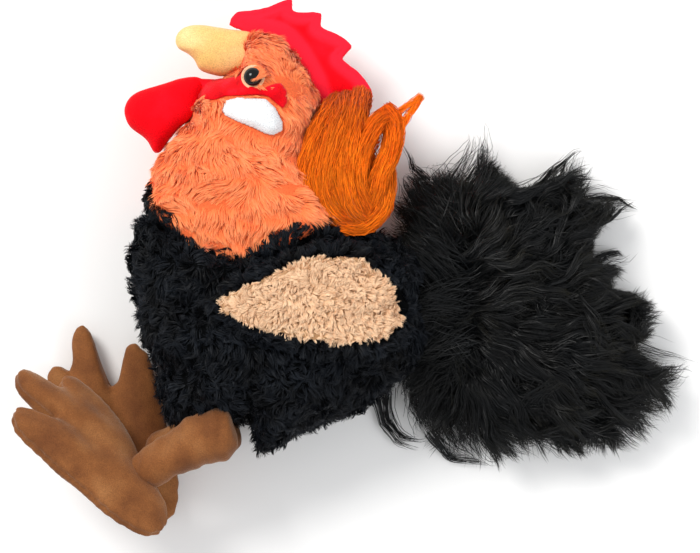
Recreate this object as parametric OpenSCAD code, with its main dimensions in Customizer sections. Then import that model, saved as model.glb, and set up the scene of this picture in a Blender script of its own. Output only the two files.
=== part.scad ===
// Plush rooster toy lying on its right side, long black tail fanned out behind it.
// +X runs from the chest to the tail, +Y towards the comb, +Z up from the surface it lies on,
// so +Z is also the toy's own left side. The origin is under the middle of the whole toy.
// Each stuffed part is two sewn fabric panels round a soft core.

/* [Body] */
// Half of the body's thickness, which is also the height of its middle plane
body_half = 46; // [40:1:52]
// Wall of a fabric panel with its short pile
panel_wall = 2.5; // [1.5:0.5:3.5]
// Depth of the pocket that the lower wing presses into the body
wing_pocket = 11; // [9:0.5:13]

/* [Head and neck] */
// Half of the head's and neck's thickness
head_half = 40; // [34:1:44]
// Radius of the round seat where the neck turns on the body
neck_radius = 69.5; // [68:0.5:71]
// Half of the beak's thickness
beak_half = 12.5; // [9:0.5:15]
// Half of the wattle's thickness
wattle_half = 13; // [9:0.5:16]
// Thickness of one layer of the comb
comb_layer = 2.6; // [1.5:0.1:4]
// Diameter of an eye
eye_d = 10; // [9:0.5:14]

/* [Wings] */
// Thickness of a wing at its middle
wing_thick = 6; // [4:0.5:7]

/* [Legs and feet] */
// Radius of a leg where it is sewn to the body
leg_r_top = 14.5; // [12:0.5:15]
// Radius of a leg at the ankle
leg_r_ankle = 12.5; // [10:0.5:13]
// Distance from hip to ankle
leg_length = 30; // [28:0.5:33]
// Half of a foot's thickness
foot_half = 10; // [7:0.5:11]
// How far the upper foot is rolled up on its edge, in degrees
foot_roll = 52; // [45:1:58]

/* [Tail and mane] */
// Half of the tail's thickness at its root
tail_half = 22; // [16:1:24]
// Radius of the round seat where the tail turns on the body
tail_seat = 24; // [22:0.5:25]
// Thickness of the yarn mane
mane_thick = 24; // [16:1:26]

/* [Hidden] */

// All outlines are drawn about a working origin at the body's middle; this moves the toy over its own centre.
centre_shift = [-9.1, -0.1, 0];
mid = body_half;          // height of the toy's middle plane
gap = 0.3;                // between two pieces of one body
patch_gap = 1.5;          // between a patch and the crowned fabric under it
clear = 1.0;              // between two pieces that move apart
tail_clear = 1.8;         // the same at the tail's seat
wing_clear = 2.4;         // the same under the upper wing
low_wing_clear = 3.3;     // the same at the lower wing, which lies in its pocket
smooth_steps = 2;         // curve steps between two outline points
rim_share = 0.95;         // a bowl's wall is solid outside this share of its radius
rings = [0.3, 0.55, 0.75, 0.87, 0.93, 1];     // where a large pillow's rings lie, as shares of its radius
small_rings = [0.4, 0.7, 0.9, 1];
function inner_rings(list) = [for (s = list) if (s < rim_share) s];   // a core stops short of the rim

orange = "#fc8b50";
red = "#f0203a";
yellow = "#fadd90";
brown = "#a8703f";
black = "#16181c";
tan_pile = "#ddb58c";
stuffing_white = "#f2f0ea";

neck_pivot = [-53, 73];
tail_pivot = [68, -20];
head_lift = 6.5;          // the head's clearance from the surface, which its ear patch fills
body_centre = [-33, -42];
head_centre = [-46, 66];

function arc(c, r, from, to, steps, rim) =
    [for (i = [0 : steps]) let (a = from + (to - from) * i / steps) [c[0] + r * cos(a), c[1] + r * sin(a), rim]];

// Outlines are [x, y, half thickness at the rim].
body_outline = concat(
    [[42, -56, 4], [46.5, -45, 14]],
    arc(tail_pivot, tail_seat + tail_clear, 220, 142, 4, 16),
    [[42, 8, 6], [33, 16, 4], [20, 20, 4], [10, 23, 10], [0, 23, 24]],
    arc(neck_pivot, neck_radius + clear, -50, -138, 6, 34),
    [[-111, 25, 20], [-116, 18, 6], [-119, 8, 4], [-119, -6, 3], [-115, -22, 3], [-112, -38, 3], [-105, -56, 3],
     [-97, -77, 3], [-84, -76, 3], [-66, -76, 3], [-54, -80, 3], [-49, -95, 3], [-47, -106, 3],
     [-38, -104, 3], [-28, -98, 3], [-11, -90, 3], [6, -84, 3], [22, -75, 3]]
);

head_outline = concat(
    arc(neck_pivot, neck_radius, -143, -40, 7, 33),
    [[-6, 42, 12], [-10, 58, 6], [-12, 76, 4], [-12, 90, 3], [-16, 102, 3], [-22, 113, 3], [-28, 122, 3],
     [-35, 128, 3], [-43, 130, 4], [-50, 128, 8], [-53, 118, 11], [-56, 109, 9], [-64, 105, 6],
     [-74, 103, 4], [-79, 96, 4], [-82, 86, 4], [-88, 77, 5], [-96, 68, 6], [-103, 58, 6], [-107, 46, 12]]
);

beak_outline = [
    [-54.5, 118, 11], [-52, 129, 6], [-60, 132, 3], [-68, 133.5, 3], [-80, 135, 3], [-88, 133, 3], [-92, 128, 3],
    [-91, 122, 3], [-86, 119.5, 3], [-81, 115, 3], [-79, 110, 3], [-71, 107, 3], [-64, 106.5, 5], [-57.5, 110.5, 8],
];
beak_centre = [-70, 120];

wattle_outline = [
    [-83.5, 88, 4], [-80.5, 97, 4], [-80, 104, 4], [-86, 106, 4], [-94, 103.5, 3], [-102, 101, 3], [-112, 98, 3],
    [-118, 94, 3], [-121, 87, 3], [-118, 78, 3], [-111, 73, 3], [-107, 69, 3], [-104.5, 63.5, 3], [-101, 63, 3],
    [-97, 69, 3], [-90, 77.5, 3],
];
wattle_centre = [-100, 86];

comb_outline = [
    [-62, 135], [-58, 142], [-50, 143], [-40, 145], [-27, 150], [-27, 143], [-20, 142], [-10, 141.5],
    [-11, 134], [-2, 130], [7, 123], [1, 116], [10, 109], [18, 98], [16, 91], [4, 90], [-9, 91],
    [-13.5, 103], [-19.5, 114.5], [-26, 124], [-33.5, 130.5], [-43, 132.5], [-53, 132],
];

band_outline = [[-30, 91, 0.5], [-31, 95.5, 0.5], [-38, 95.8, 0.5], [-48, 96, 0.5], [-60, 98.5, 0.5],
                [-71, 99.5, 0.5], [-72, 94.5, 0.5], [-62, 92.5, 0.5], [-48, 92, 0.5], [-37, 91.5, 0.5]];
ear_outline = [[-32, 78, 0.8], [-33, 85, 0.8], [-38, 90, 0.8], [-52, 91.5, 0.8], [-63, 91, 0.8], [-66, 87, 0.8],
               [-62, 81, 0.8], [-53, 77.5, 0.8], [-44, 73, 0.8], [-37, 72, 0.8]];
band_centre = [-50, 94];
ear_centre = [-48, 84];

wing_outline = [[40, -26, 1.5], [39, -14, 1.5], [34.5, 0, 1.5], [23, 10, 1.5], [4, 12, 1.5], [-18, 9, 1.5],
                [-38, 2.5, 1.5], [-56, -6, 1.5], [-72, -20, 1.5], [-68, -29, 1.5], [-50, -38, 1.5],
                [-28, -45, 1.5], [0, -50, 1.5], [26, -47, 1.5], [37, -38, 1.5]];
patch_outline = [[34.5, -24, 0.5], [27, -9, 0.5], [12, 4, 0.5], [-8, 5, 0.5], [-24, 2, 0.5], [-42, -7, 0.5],
                 [-56, -13, 0.5], [-67, -21, 0.5], [-60, -28, 0.5], [-43, -34, 0.5], [-18, -40, 0.5],
                 [6, -43, 0.5], [26, -39, 0.5], [33, -32, 0.5]];
wing_centre = [-10, -18];

tail_outline = concat(
    arc(tail_pivot, tail_seat, 212, 148, 4, 14),
    [[53, 2, 12], [58, 24, 8], [46, 54, 3], [60, 50, 4], [74, 54, 4], [81, 78, 2], [94, 52, 4], [110, 50, 4], [139, 63, 2],
     [134, 40, 4], [150, 34, 3], [170, 31, 2], [146, 14, 4], [150, 6, 3], [166, 4, 2], [158, -12, 4],
     [178, -28, 3], [172, -44, 4], [201, -54, 2], [178, -72, 4], [172, -92, 3], [148, -104, 3], [120, -104, 4],
     [96, -102, 3], [74, -107, 2], [60, -102, 3], [56, -86, 4], [60, -64, 6], [56, -46, 10]]
);
tail_centre = [92, -26];
backing_outline = [[62, -36, 3], [63, -4, 3], [78, 14, 3], [96, 18, 3], [112, 4, 3], [116, -26, 3], [108, -56, 3],
                   [90, -68, 3], [74, -58, 3]];

mane_outline = [[2, 92, 4], [-6, 84, 5], [-9, 66, 6], [-7, 48, 6], [0, 36, 4], [10, 33, 4], [19, 36, 4],
                [22, 52, 6], [20, 72, 6], [14, 90, 4]];
mane_centre = [6, 62];
mane_bottom = mid + 8;
loop_outline = [[20.5, 91], [33, 87], [34, 66], [30, 48], [25, 40], [24.5, 52], [23, 72]];
loop_hole = [[26, 82], [29.5, 80], [29, 66], [27, 64], [26, 72]];

// A foot lies in its own frame: +X towards the toes, +Y to its outer side, +Z out of its top.
// spread is how far apart its two long toes stand.
function foot_outline(spread) = [
    [64.2, -13, 3], [60, -21, 3], [46, -22, 3], [35, -22.5, 3], [43, -29, 3], [40, -37, 3], [26, -37, 3], [8, -32, 3],
    [-6, -27, 3], [-18, -16, 3], [-31, -6, 3], [-46, 2, 3], [-55, 15, 3], [-50, 27, 3], [-38, 32, 3], [-18, 31, 3],
    [4, 29, 3], [24, 26, 3], [42, 23, 3], [51, 16, 3], [51, 4 + spread, 3], [38, 2 + spread / 2, 3], [24, 0, 3],
    [40, -2 - spread / 2, 3], [58, -4.2 - 0.8 * spread, 3],
];
left_toes = 2.5;
right_toes = 6;

hip_left = [-69, -93.5, 69];
hip_right = [-69, -93.5, 28];
foot_left_at = [-134.1, -105, 60];
foot_left_turn = 144;
foot_right_at = [-127, -96, 11.5];
foot_right_turn = 96;

function curve_point(p, i, t) =
    let (n = len(p), a = p[(i - 1 + n) % n], b = p[i % n], c = p[(i + 1) % n], d = p[(i + 2) % n])
    0.5 * (2 * b + (c - a) * t + (2 * a - 5 * b + 4 * c - d) * t * t + (3 * b - a - 3 * c + d) * t * t * t);
function smooth(p, steps = smooth_steps) =
    [for (i = [0 : len(p) - 1]) for (j = [0 : steps - 1]) curve_point(p, i, j / steps)];
function flat(p) = [for (q = p) [q[0], q[1]]];

// Every pillow's rim runs counter-clockwise, whichever way its outline was written down.
function total(list, i = 0) = i < len(list) ? list[i] + total(list, i + 1) : 0;
function turning(p) = total([for (i = [0 : len(p) - 1]) let (q = p[(i + 1) % len(p)]) p[i][0] * q[1] - q[0] * p[i][1]]);
function counter_clockwise(p) = turning(p) > 0 ? p : [for (i = [len(p) - 1 : -1 : 0]) p[i]];

// Height of a crowned panel above the middle plane, at share s of the way to a rim of half thickness e.
function crown(s, high, e) = e + (high - e) * pow(1 - pow(min(s, 1), 2.6), 0.6);

// The outline as [angle from its first point, radius, rim], so that the crown is known at any x, y.
function turn_from(a, a0) = (a - a0 + 720) % 360;
function polar(outline, c) =
    let (pts = smooth(outline), a0 = atan2(pts[0][1] - c[1], pts[0][0] - c[0]))
    [for (p = pts) [turn_from(atan2(p[1] - c[1], p[0] - c[0]), a0), norm([p[0] - c[0], p[1] - c[1]]), p[2]]];
function start_angle(outline, c) = atan2(outline[0][1] - c[1], outline[0][0] - c[0]);
function column(table, i) = concat([for (q = table) [q[0], q[i]]], [[360, table[0][i]]]);
function crown_at(x, y, c, a0, radii, rims, high) =
    let (a = turn_from(atan2(y - c[1], x - c[0]), a0),
         s = norm([x - c[0], y - c[1]]) / lookup(a, radii))
    crown(s, high, lookup(a, rims));

body_table = polar(body_outline, body_centre);
body_radii = column(body_table, 1);
body_rims = column(body_table, 2);
body_a0 = start_angle(body_outline, body_centre);
function body_crown(x, y) = crown_at(x, y, body_centre, body_a0, body_radii, body_rims, body_half);

head_table = polar(head_outline, head_centre);
head_radii = column(head_table, 1);
head_rims = column(head_table, 2);
head_a0 = start_angle(head_outline, head_centre);
function head_crown(x, y) = crown_at(x, y, head_centre, head_a0, head_radii, head_rims, head_half);

// The side that the toy lies on is pressed flat, with a pocket where the lower wing lies against it.
function pocket(x, y) =
    let (d = pow((x + 13) / 74, 2) + pow((y + 17) / 45, 2))
    wing_pocket * max(0, min(1, (1.3 - d) / 0.3));
cut_depth = 0.6;          // how far the crowned underside reaches below the surface, where it is cut flat
function body_low(x, y) = min(1.45 * body_crown(x, y), mid + cut_depth) - pocket(x, y);
function head_low(x, y) = min(1.15 * head_crown(x, y), mid - head_lift);

// A closed solid over a star-shaped outline, between two surfaces given as functions of share, x and y.
module pillow(outline, c, top, bottom, ring_list = rings, steps = smooth_steps) {
    rim = smooth(counter_clockwise(outline), steps);
    n = len(rim);
    k = len(ring_list);
    function at(s, j) = [c[0] + s * (rim[j][0] - c[0]), c[1] + s * (rim[j][1] - c[1])];
    function points_of(f) = concat(
        [[c[0], c[1], f(0, c[0], c[1], rim[0][2])]],
        [for (s = ring_list) for (j = [0 : n - 1]) let (p = at(s, j)) [p[0], p[1], f(s, p[0], p[1], rim[j][2])]]);
    function fan(o) = [for (j = [0 : n - 1]) [o, o + 1 + (j + 1) % n, o + 1 + j]];
    function band(o, i) = [for (j = [0 : n - 1]) let (j1 = (j + 1) % n, a = o + 1 + i * n, b = a + n)
        each [[a + j, a + j1, b + j1], [a + j, b + j1, b + j]]];
    function flip(fs) = [for (f = fs) [f[2], f[1], f[0]]];
    low = 1 + n * k;
    upper_faces = concat(fan(0), [for (i = [0 : k - 2]) each band(0, i)]);
    lower_faces = concat(fan(low), [for (i = [0 : k - 2]) each band(low, i)]);
    edge = 1 + (k - 1) * n;
    wall_faces = [for (j = [0 : n - 1]) let (j1 = (j + 1) % n)
        each [[edge + j, edge + j1, low + edge + j1], [edge + j, low + edge + j1, low + edge + j]]];
    polyhedron(concat(points_of(top), points_of(bottom)), concat(upper_faces, flip(lower_faces), wall_faces));
}

// One half of a stuffed part: a bowl of fabric whose open side faces the middle plane, at height z.
module upper_bowl(outline, c, high, z, wall = panel_wall, ring_list = rings, steps = smooth_steps) {
    top = function(s, x, y, e) z + crown(s, high, e);
    bottom = function(s, x, y, e) z + (s > rim_share ? gap : max(gap, crown(s, high, e) - wall));
    pillow(outline, c, top, bottom, ring_list, steps);
}

module lower_bowl(outline, c, high, z, wall = panel_wall, ring_list = rings, steps = smooth_steps) {
    bottom = function(s, x, y, e) z - crown(s, high, e);
    top = function(s, x, y, e) z - (s > rim_share ? gap : max(gap, crown(s, high, e) - wall));
    pillow(outline, c, top, bottom, ring_list, steps);
}

// The soft core inside two bowls.
module core(outline, c, high, z, wall = panel_wall, ring_list = rings, steps = smooth_steps) {
    top = function(s, x, y, e) z + max(gap, crown(s, high, e) - wall - gap);
    bottom = function(s, x, y, e) z - max(gap, crown(s, high, e) - wall - gap);
    pillow(outline, c, top, bottom, inner_rings(ring_list), steps);
}

// A half core's inner face is flat, or hollowed where hollow(x, y) gives a depth.
module half_core(outline, c, side, height, hollow) {
    outer = function(s, x, y, e) mid + side * (height(x, y) - panel_wall - gap);
    inner = function(s, x, y, e) mid + side * (gap + hollow(x, y));
    if (side > 0) pillow(outline, c, outer, inner, inner_rings(rings));
    else pillow(outline, c, inner, outer, inner_rings(rings));
}

module body_panel_left() {
    color(black) translate(centre_shift) upper_bowl(body_outline, body_centre, body_half, mid);
}

module body_panel_right() {
    outer = function(s, x, y, e) mid - (s > rim_share ? e : body_low(x, y));
    inner = function(s, x, y, e) mid - (s > rim_share ? gap : body_low(x, y) - panel_wall);
    color(black) translate(centre_shift) difference() {
        pillow(body_outline, body_centre, inner, outer);
        translate([-200, -200, -20]) cube([400, 400, 20]);
    }
}

squeaker_r = 16;
// A cone just wider than the squeaker, at the middle of the stuffing.
pocket_depth = 23;
pocket_r = 26;
function squeaker_pocket(x, y) = max(0, pocket_depth * (1 - norm([x - body_centre[0], y - body_centre[1]]) / pocket_r));
no_hollow = function(x, y) 0;

module body_stuffing_left() {
    color(stuffing_white) translate(centre_shift)
        half_core(body_outline, body_centre, 1, function(x, y) body_crown(x, y), function(x, y) squeaker_pocket(x, y));
}

module body_stuffing_right() {
    color(stuffing_white) translate(centre_shift)
        half_core(body_outline, body_centre, -1, function(x, y) body_low(x, y) - cut_depth,
                  function(x, y) squeaker_pocket(x, y));
}

// The squeaker is a hollow ball, with its reed pressed into the open neck.
reed_r = 3.5;
module squeaker_bladder() {
    color("#e8e8e2") translate(centre_shift) translate([body_centre[0], body_centre[1], mid]) rotate([0, 90, 0])
        rotate_extrude($fn = 48) difference() {
            intersection() {
                circle(r = squeaker_r, $fn = 48);
                translate([0, -squeaker_r]) square([squeaker_r, 2 * squeaker_r]);
            }
            circle(r = squeaker_r - 1.4, $fn = 48);
            square([reed_r + 0.05, squeaker_r + 1]);
        }
}

module squeaker_reed() {
    color("#f8f8f8") translate(centre_shift) translate([body_centre[0], body_centre[1], mid]) rotate([0, 90, 0])
        translate([0, 0, squeaker_r - 6]) difference() {
            cylinder(r = reed_r, h = 5.5, $fn = 32);
            translate([0, 0, -1]) cylinder(r = 1.2, h = 8, $fn = 24);
        }
}

module head_panel_left() {
    color(orange) translate(centre_shift) upper_bowl(head_outline, head_centre, head_half, mid);
}

module head_panel_right() {
    outer = function(s, x, y, e) mid - (s > rim_share ? e : head_low(x, y));
    inner = function(s, x, y, e) mid - (s > rim_share ? gap : head_low(x, y) - panel_wall);
    color(orange) translate(centre_shift) pillow(head_outline, head_centre, inner, outer);
}

module head_stuffing_left() {
    color(stuffing_white) translate(centre_shift)
        half_core(head_outline, head_centre, 1, function(x, y) head_crown(x, y), no_hollow);
}

module head_stuffing_right() {
    color(stuffing_white) translate(centre_shift)
        half_core(head_outline, head_centre, -1, function(x, y) head_low(x, y), no_hollow);
}

module beak_panel_left() {
    color(yellow) translate(centre_shift) upper_bowl(beak_outline, beak_centre, beak_half, mid, 2, small_rings);
}

module beak_panel_right() {
    color(yellow) translate(centre_shift) lower_bowl(beak_outline, beak_centre, beak_half, mid, 2, small_rings);
}

module beak_stuffing() {
    color(stuffing_white) translate(centre_shift) core(beak_outline, beak_centre, beak_half, mid, 2, small_rings);
}

module wattle_panel_left() {
    color(red) translate(centre_shift) upper_bowl(wattle_outline, wattle_centre, wattle_half, mid, 2, small_rings);
}

module wattle_panel_right() {
    color(red) translate(centre_shift) lower_bowl(wattle_outline, wattle_centre, wattle_half, mid, 2, small_rings);
}

module wattle_stuffing() {
    color(stuffing_white) translate(centre_shift) core(wattle_outline, wattle_centre, wattle_half, mid, 2, small_rings);
}

// The comb is two layers of velour, stitched together round a thin pad.
comb_pad = 3.4;
module comb_sheet(z) {
    translate([0, 0, z]) linear_extrude(comb_layer) polygon(flat(smooth(comb_outline)));
}

module comb_panel_left() {
    color(red) translate(centre_shift) comb_sheet(mid + comb_pad / 2 + 0.1);
}

module comb_panel_right() {
    color(red) translate(centre_shift) comb_sheet(mid - comb_pad / 2 - 0.1 - comb_layer);
}

module comb_padding() {
    color(stuffing_white) translate(centre_shift) translate([0, 0, mid - comb_pad / 2])
        linear_extrude(comb_pad) offset(delta = -3) polygon(flat(smooth(comb_outline)));
}

// A patch sewn on the head, following its crown. side is 1 on the left and -1 on the right.
module head_patch(outline, c, side, thick) {
    under = function(x, y) (side > 0 ? head_crown(x, y) : head_low(x, y)) + patch_gap;
    near = function(s, x, y, e) mid + side * under(x, y);
    far = function(s, x, y, e) mid + side * (under(x, y) + crown(s, thick, e));
    if (side > 0) pillow(outline, c, far, near, [0.4, 0.75, 1]);
    else pillow(outline, c, near, far, [0.4, 0.75, 1]);
}

module face_band_left() {
    color("#ff1616") translate(centre_shift) head_patch(band_outline, band_centre, 1, 1.6);
}

module face_band_right() {
    color("#ff1616") translate(centre_shift) head_patch(band_outline, band_centre, -1, 1.6);
}

module ear_patch_left() {
    color("#f4f6f8") translate(centre_shift) head_patch(ear_outline, ear_centre, 1, 5);
}

module ear_patch_right() {
    color("#f4f6f8") translate(centre_shift) head_patch(ear_outline, ear_centre, -1, 5);
}

// A safety eye: a glossy dome whose stem goes through the fabric into a toothed washer inside the head.
eye_at = [-47.5, 103.4];
eye_lift = head_crown(eye_at[0], eye_at[1]);
module at_eye(side) {
    translate([eye_at[0], eye_at[1], mid]) rotate([side > 0 ? 0 : 180, 0, 0])
        translate([0, 0, side > 0 ? eye_lift : head_low(eye_at[0], eye_at[1])]) children();
}

module eye(side) {
    at_eye(side) {
        translate([0, 0, 2]) intersection() {
            translate([0, 0, -2.2]) sphere(d = eye_d + 1.2, $fn = 48);
            cylinder(d = eye_d, h = 8, $fn = 48);
        }
        translate([0, 0, -9]) cylinder(d = 3, h = 11.2, $fn = 24);
    }
}

module eye_rim(side) {
    at_eye(side) difference() {
        cylinder(d = eye_d + 3, h = 1.6, $fn = 48);
        translate([0, 0, -1]) cylinder(d = 3.4, h = 4, $fn = 24);
    }
}

module eye_washer(side) {
    at_eye(side) translate([0, 0, -6.5]) difference() {
        cylinder(d = 12, h = 1.5, $fn = 48);
        translate([0, 0, -1]) cylinder(d = 3.1, h = 4, $fn = 24);
    }
}

module eye_left() { color("#101010") translate(centre_shift) eye(1); }
module eye_right() { color("#101010") translate(centre_shift) eye(-1); }
module eye_rim_left() { color("#f6c9a8") translate(centre_shift) eye_rim(1); }
module eye_rim_right() { color("#f6c9a8") translate(centre_shift) eye_rim(-1); }
module eye_washer_left() { color("#e8e8e8") translate(centre_shift) eye_washer(1); }
module eye_washer_right() { color("#e8e8e8") translate(centre_shift) eye_washer(-1); }

module mane_hank() {
    top = function(s, x, y, e) mane_bottom + mane_thick / 2 + crown(s, mane_thick / 2, e);
    bottom = function(s, x, y, e) mane_bottom + mane_thick / 2 - crown(s, mane_thick / 2, e);
    color("#f5790f") translate(centre_shift)
        pillow(mane_outline, mane_centre, top, bottom, [0.4, 0.75, 0.93, 1]);
}

module mane_loop() {
    color("#c45f16") translate(centre_shift) translate([0, 0, mane_bottom + 5]) linear_extrude(7) difference() {
        polygon(smooth(loop_outline));
        polygon(smooth(loop_hole));
    }
}

// Height above the middle plane of the body's outside, where a wing lies on it.
function wing_seat(x, y, side) = side > 0 ? body_crown(x, y) + wing_clear : body_low(x, y) + low_wing_clear;
backing_thick = 1.2;
patch_lift = 1.8;         // between the backing and the sherpa patch

module wing_layer(outline, side, from, to, ring_list) {
    near = function(s, x, y, e) mid + side * (wing_seat(x, y, side) + from);
    far = function(s, x, y, e) mid + side * (wing_seat(x, y, side) + from + crown(s, to - from, e));
    if (side > 0) pillow(outline, wing_centre, far, near, ring_list);
    else pillow(outline, wing_centre, near, far, ring_list);
}

wing_rings = [0.3, 0.6, 0.85, 1];
module wing_fur(side) {
    difference() {
        wing_layer(wing_outline, side, backing_thick + 0.1, wing_thick - 1.2, wing_rings);
        translate([0, 0, side > 0 ? mid : -1]) linear_extrude(mid + 12) offset(delta = 0.3)
            polygon(flat(smooth(patch_outline)));
    }
}

module wing_backing(side) {
    wing_layer([for (p = wing_outline) [p[0], p[1], backing_thick]], side, 0, backing_thick, wing_rings);
}

module wing_patch(side) {
    wing_layer(patch_outline, side, backing_thick + patch_lift, wing_thick, wing_rings);
}

module wing_left_backing() { color("#202226") translate(centre_shift) wing_backing(1); }
module wing_left_fur() { color(black) translate(centre_shift) wing_fur(1); }
module wing_left_patch() { color(tan_pile) translate(centre_shift) wing_patch(1); }
module wing_right_backing() { color("#202226") translate(centre_shift) wing_backing(-1); }
module wing_right_fur() { color(black) translate(centre_shift) wing_fur(-1); }
module wing_right_patch() { color(tan_pile) translate(centre_shift) wing_patch(-1); }

// A leg lies along its own +Z from the hip; its ends are round about the hip and the ankle.
leg_wall = 2;
module leg_profile(r_top, r_ankle, length) {
    hull() {
        intersection() {
            circle(r = r_top, $fn = 48);
            translate([0, -r_top]) square([r_top, 2 * r_top]);
        }
        intersection() {
            translate([0, length]) circle(r = r_ankle, $fn = 48);
            translate([0, length - r_ankle]) square([r_ankle, 2 * r_ankle]);
        }
    }
}

// The ankle end of the sleeve is closed; the hip end is open, where it is sewn to the body.
module leg_sleeve() {
    rotate_extrude($fn = 64) difference() {
        leg_profile(leg_r_top, leg_r_ankle, leg_length);
        leg_profile(leg_r_top - leg_wall, leg_r_ankle - leg_wall, leg_length);
        translate([0, -leg_r_top - 1]) square([leg_r_top + 1, 5]);
    }
}

module leg_stuffing() {
    rotate_extrude($fn = 64) leg_profile(leg_r_top - leg_wall - gap, leg_r_ankle - leg_wall - gap, leg_length);
}

leg_left_tilt = [0, -90, 18];
leg_right_tilt = [0, -82, 18];
module leg_left_sleeve() {
    color(brown) translate(centre_shift) translate(hip_left) rotate(leg_left_tilt) leg_sleeve();
}
module leg_left_stuffing() {
    color(stuffing_white) translate(centre_shift) translate(hip_left) rotate(leg_left_tilt) leg_stuffing();
}
module leg_right_sleeve() {
    color(brown) translate(centre_shift) translate(hip_right) rotate(leg_right_tilt) leg_sleeve();
}
module leg_right_stuffing() {
    color(stuffing_white) translate(centre_shift) translate(hip_right) rotate(leg_right_tilt) leg_stuffing();
}

module place_foot_left() {
    translate(centre_shift) translate(foot_left_at) rotate([0, 0, foot_left_turn]) rotate([foot_roll, 0, 0]) children();
}
module place_foot_right() {
    translate(centre_shift) translate(foot_right_at) rotate([0, 0, foot_right_turn]) mirror([0, 1, 0]) children();
}

module foot_top(toes) { upper_bowl(foot_outline(toes), [0, 0], foot_half, 0, 2, small_rings); }
module foot_sole(toes) { lower_bowl(foot_outline(toes), [0, 0], foot_half, 0, 2, small_rings); }
module foot_stuffing(toes) { core(foot_outline(toes), [0, 0], foot_half, 0, 2, small_rings); }

module foot_left_top() { color(brown) place_foot_left() foot_top(left_toes); }
module foot_left_sole() { color(brown) place_foot_left() foot_sole(left_toes); }
module foot_left_stuffing() { color(stuffing_white) place_foot_left() foot_stuffing(left_toes); }
module foot_right_top() { color(brown) place_foot_right() foot_top(right_toes); }
module foot_right_sole() { color(brown) place_foot_right() foot_sole(right_toes); }
module foot_right_stuffing() { color(stuffing_white) place_foot_right() foot_stuffing(right_toes); }

// The tail is a stuffed pad with very long pile all round it, spread on the surface that the toy lies on.
tail_mid = tail_half + 1;
tail_wall = 7;
module tail_fur_left() {
    color(black) translate(centre_shift)
        upper_bowl(tail_outline, tail_centre, tail_half, tail_mid, tail_wall, rings, 1);
}
module tail_fur_right() {
    color(black) translate(centre_shift)
        lower_bowl(tail_outline, tail_centre, tail_half, tail_mid, tail_wall, rings, 1);
}
module tail_backing() {
    color("#1c1e22") translate(centre_shift) core(backing_outline, [88, -24], 13, tail_mid);
}

body_panel_left();
body_panel_right();
body_stuffing_left();
body_stuffing_right();
squeaker_bladder();
squeaker_reed();
head_panel_left();
head_panel_right();
head_stuffing_left();
head_stuffing_right();
beak_panel_left();
beak_panel_right();
beak_stuffing();
comb_panel_left();
comb_panel_right();
comb_padding();
wattle_panel_left();
wattle_panel_right();
wattle_stuffing();
face_band_left();
face_band_right();
ear_patch_left();
ear_patch_right();
eye_left();
eye_right();
eye_rim_left();
eye_rim_right();
eye_washer_left();
eye_washer_right();
mane_hank();
mane_loop();
wing_left_backing();
wing_left_fur();
wing_left_patch();
wing_right_backing();
wing_right_fur();
wing_right_patch();
leg_left_sleeve();
leg_left_stuffing();
leg_right_sleeve();
leg_right_stuffing();
foot_left_top();
foot_left_sole();
foot_left_stuffing();
foot_right_top();
foot_right_sole();
foot_right_stuffing();
tail_fur_left();
tail_fur_right();
tail_backing();
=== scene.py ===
import math

import bpy
import numpy as np
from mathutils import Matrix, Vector
from mathutils.bvhtree import BVHTree
from mathutils.kdtree import KDTree


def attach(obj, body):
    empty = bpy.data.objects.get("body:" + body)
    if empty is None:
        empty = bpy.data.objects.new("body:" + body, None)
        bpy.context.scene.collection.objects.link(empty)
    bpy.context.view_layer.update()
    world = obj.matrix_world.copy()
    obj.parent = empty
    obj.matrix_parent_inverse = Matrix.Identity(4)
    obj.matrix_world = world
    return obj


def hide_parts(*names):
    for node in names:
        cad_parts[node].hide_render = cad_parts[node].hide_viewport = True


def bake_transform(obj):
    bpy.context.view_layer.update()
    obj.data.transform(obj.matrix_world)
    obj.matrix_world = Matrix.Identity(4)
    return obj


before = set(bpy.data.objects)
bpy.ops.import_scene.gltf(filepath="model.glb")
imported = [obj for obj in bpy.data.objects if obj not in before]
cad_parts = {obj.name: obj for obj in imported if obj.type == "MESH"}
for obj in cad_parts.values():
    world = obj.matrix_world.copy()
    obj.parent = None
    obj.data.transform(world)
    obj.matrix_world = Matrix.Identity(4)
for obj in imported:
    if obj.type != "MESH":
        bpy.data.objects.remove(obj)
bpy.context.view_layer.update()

MM = 0.001
SHIFT = np.array([-9.1, -0.1, 0.0])      # from part.scad's working origin to the row's origin, in mm
MID = 46.0                               # height of the toy's middle plane, in mm
NECK_PIVOT = np.array([-53.0, 73.0])     # the round seat between the neck and the body, in mm
FUR_SHARE = 1.0        # how many of the fur's strands are made
MAX_TRIANGLES = 180000                   # in one piece of fur
FUR_FLOOR = 0.4                          # the lowest that a strand lies, in mm
RAY_START = 90.0                         # from the middle plane to where a ray towards the head starts, in mm
SIDES = (("left", 1), ("right", -1))     # each side of the toy, and which way it looks along z

# How many strands each coat has, at full quality.
BODY_STRANDS = 84000
HEAD_STRANDS = 80000
BROW_STRANDS = 2600
TAN_STRANDS = 60000
WING_STRANDS = 34000
TAIL_STRANDS = 38000
HIDDEN_WING_SHARE = 0.35                 # the wing underneath needs fewer


def in_row(points):
    """Points of part.scad's working frame, in mm, in the row's frame, in metres."""
    return (points + SHIFT) * MM


def at(x, y, z=0.0):
    """One point of part.scad's working frame, in mm, in the row's frame, in metres."""
    return in_row(np.array([x, y, z]))


def local(points):
    """Points of the row's frame, in metres, in part.scad's working frame, in mm."""
    return points / MM - SHIFT


# ---------------------------------------------------------------- camera, floor and light

PHOTO_WIDTH = 0.392                      # what the frame's width covers at the toy's middle plane
VIEW_CENTRE = at(5.6, -5.9)
CAMERA_HEIGHT = 1.65
FLOOR_HALF = 3.0
LAMPS_AIM = (0, 0, 0.04)


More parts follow.
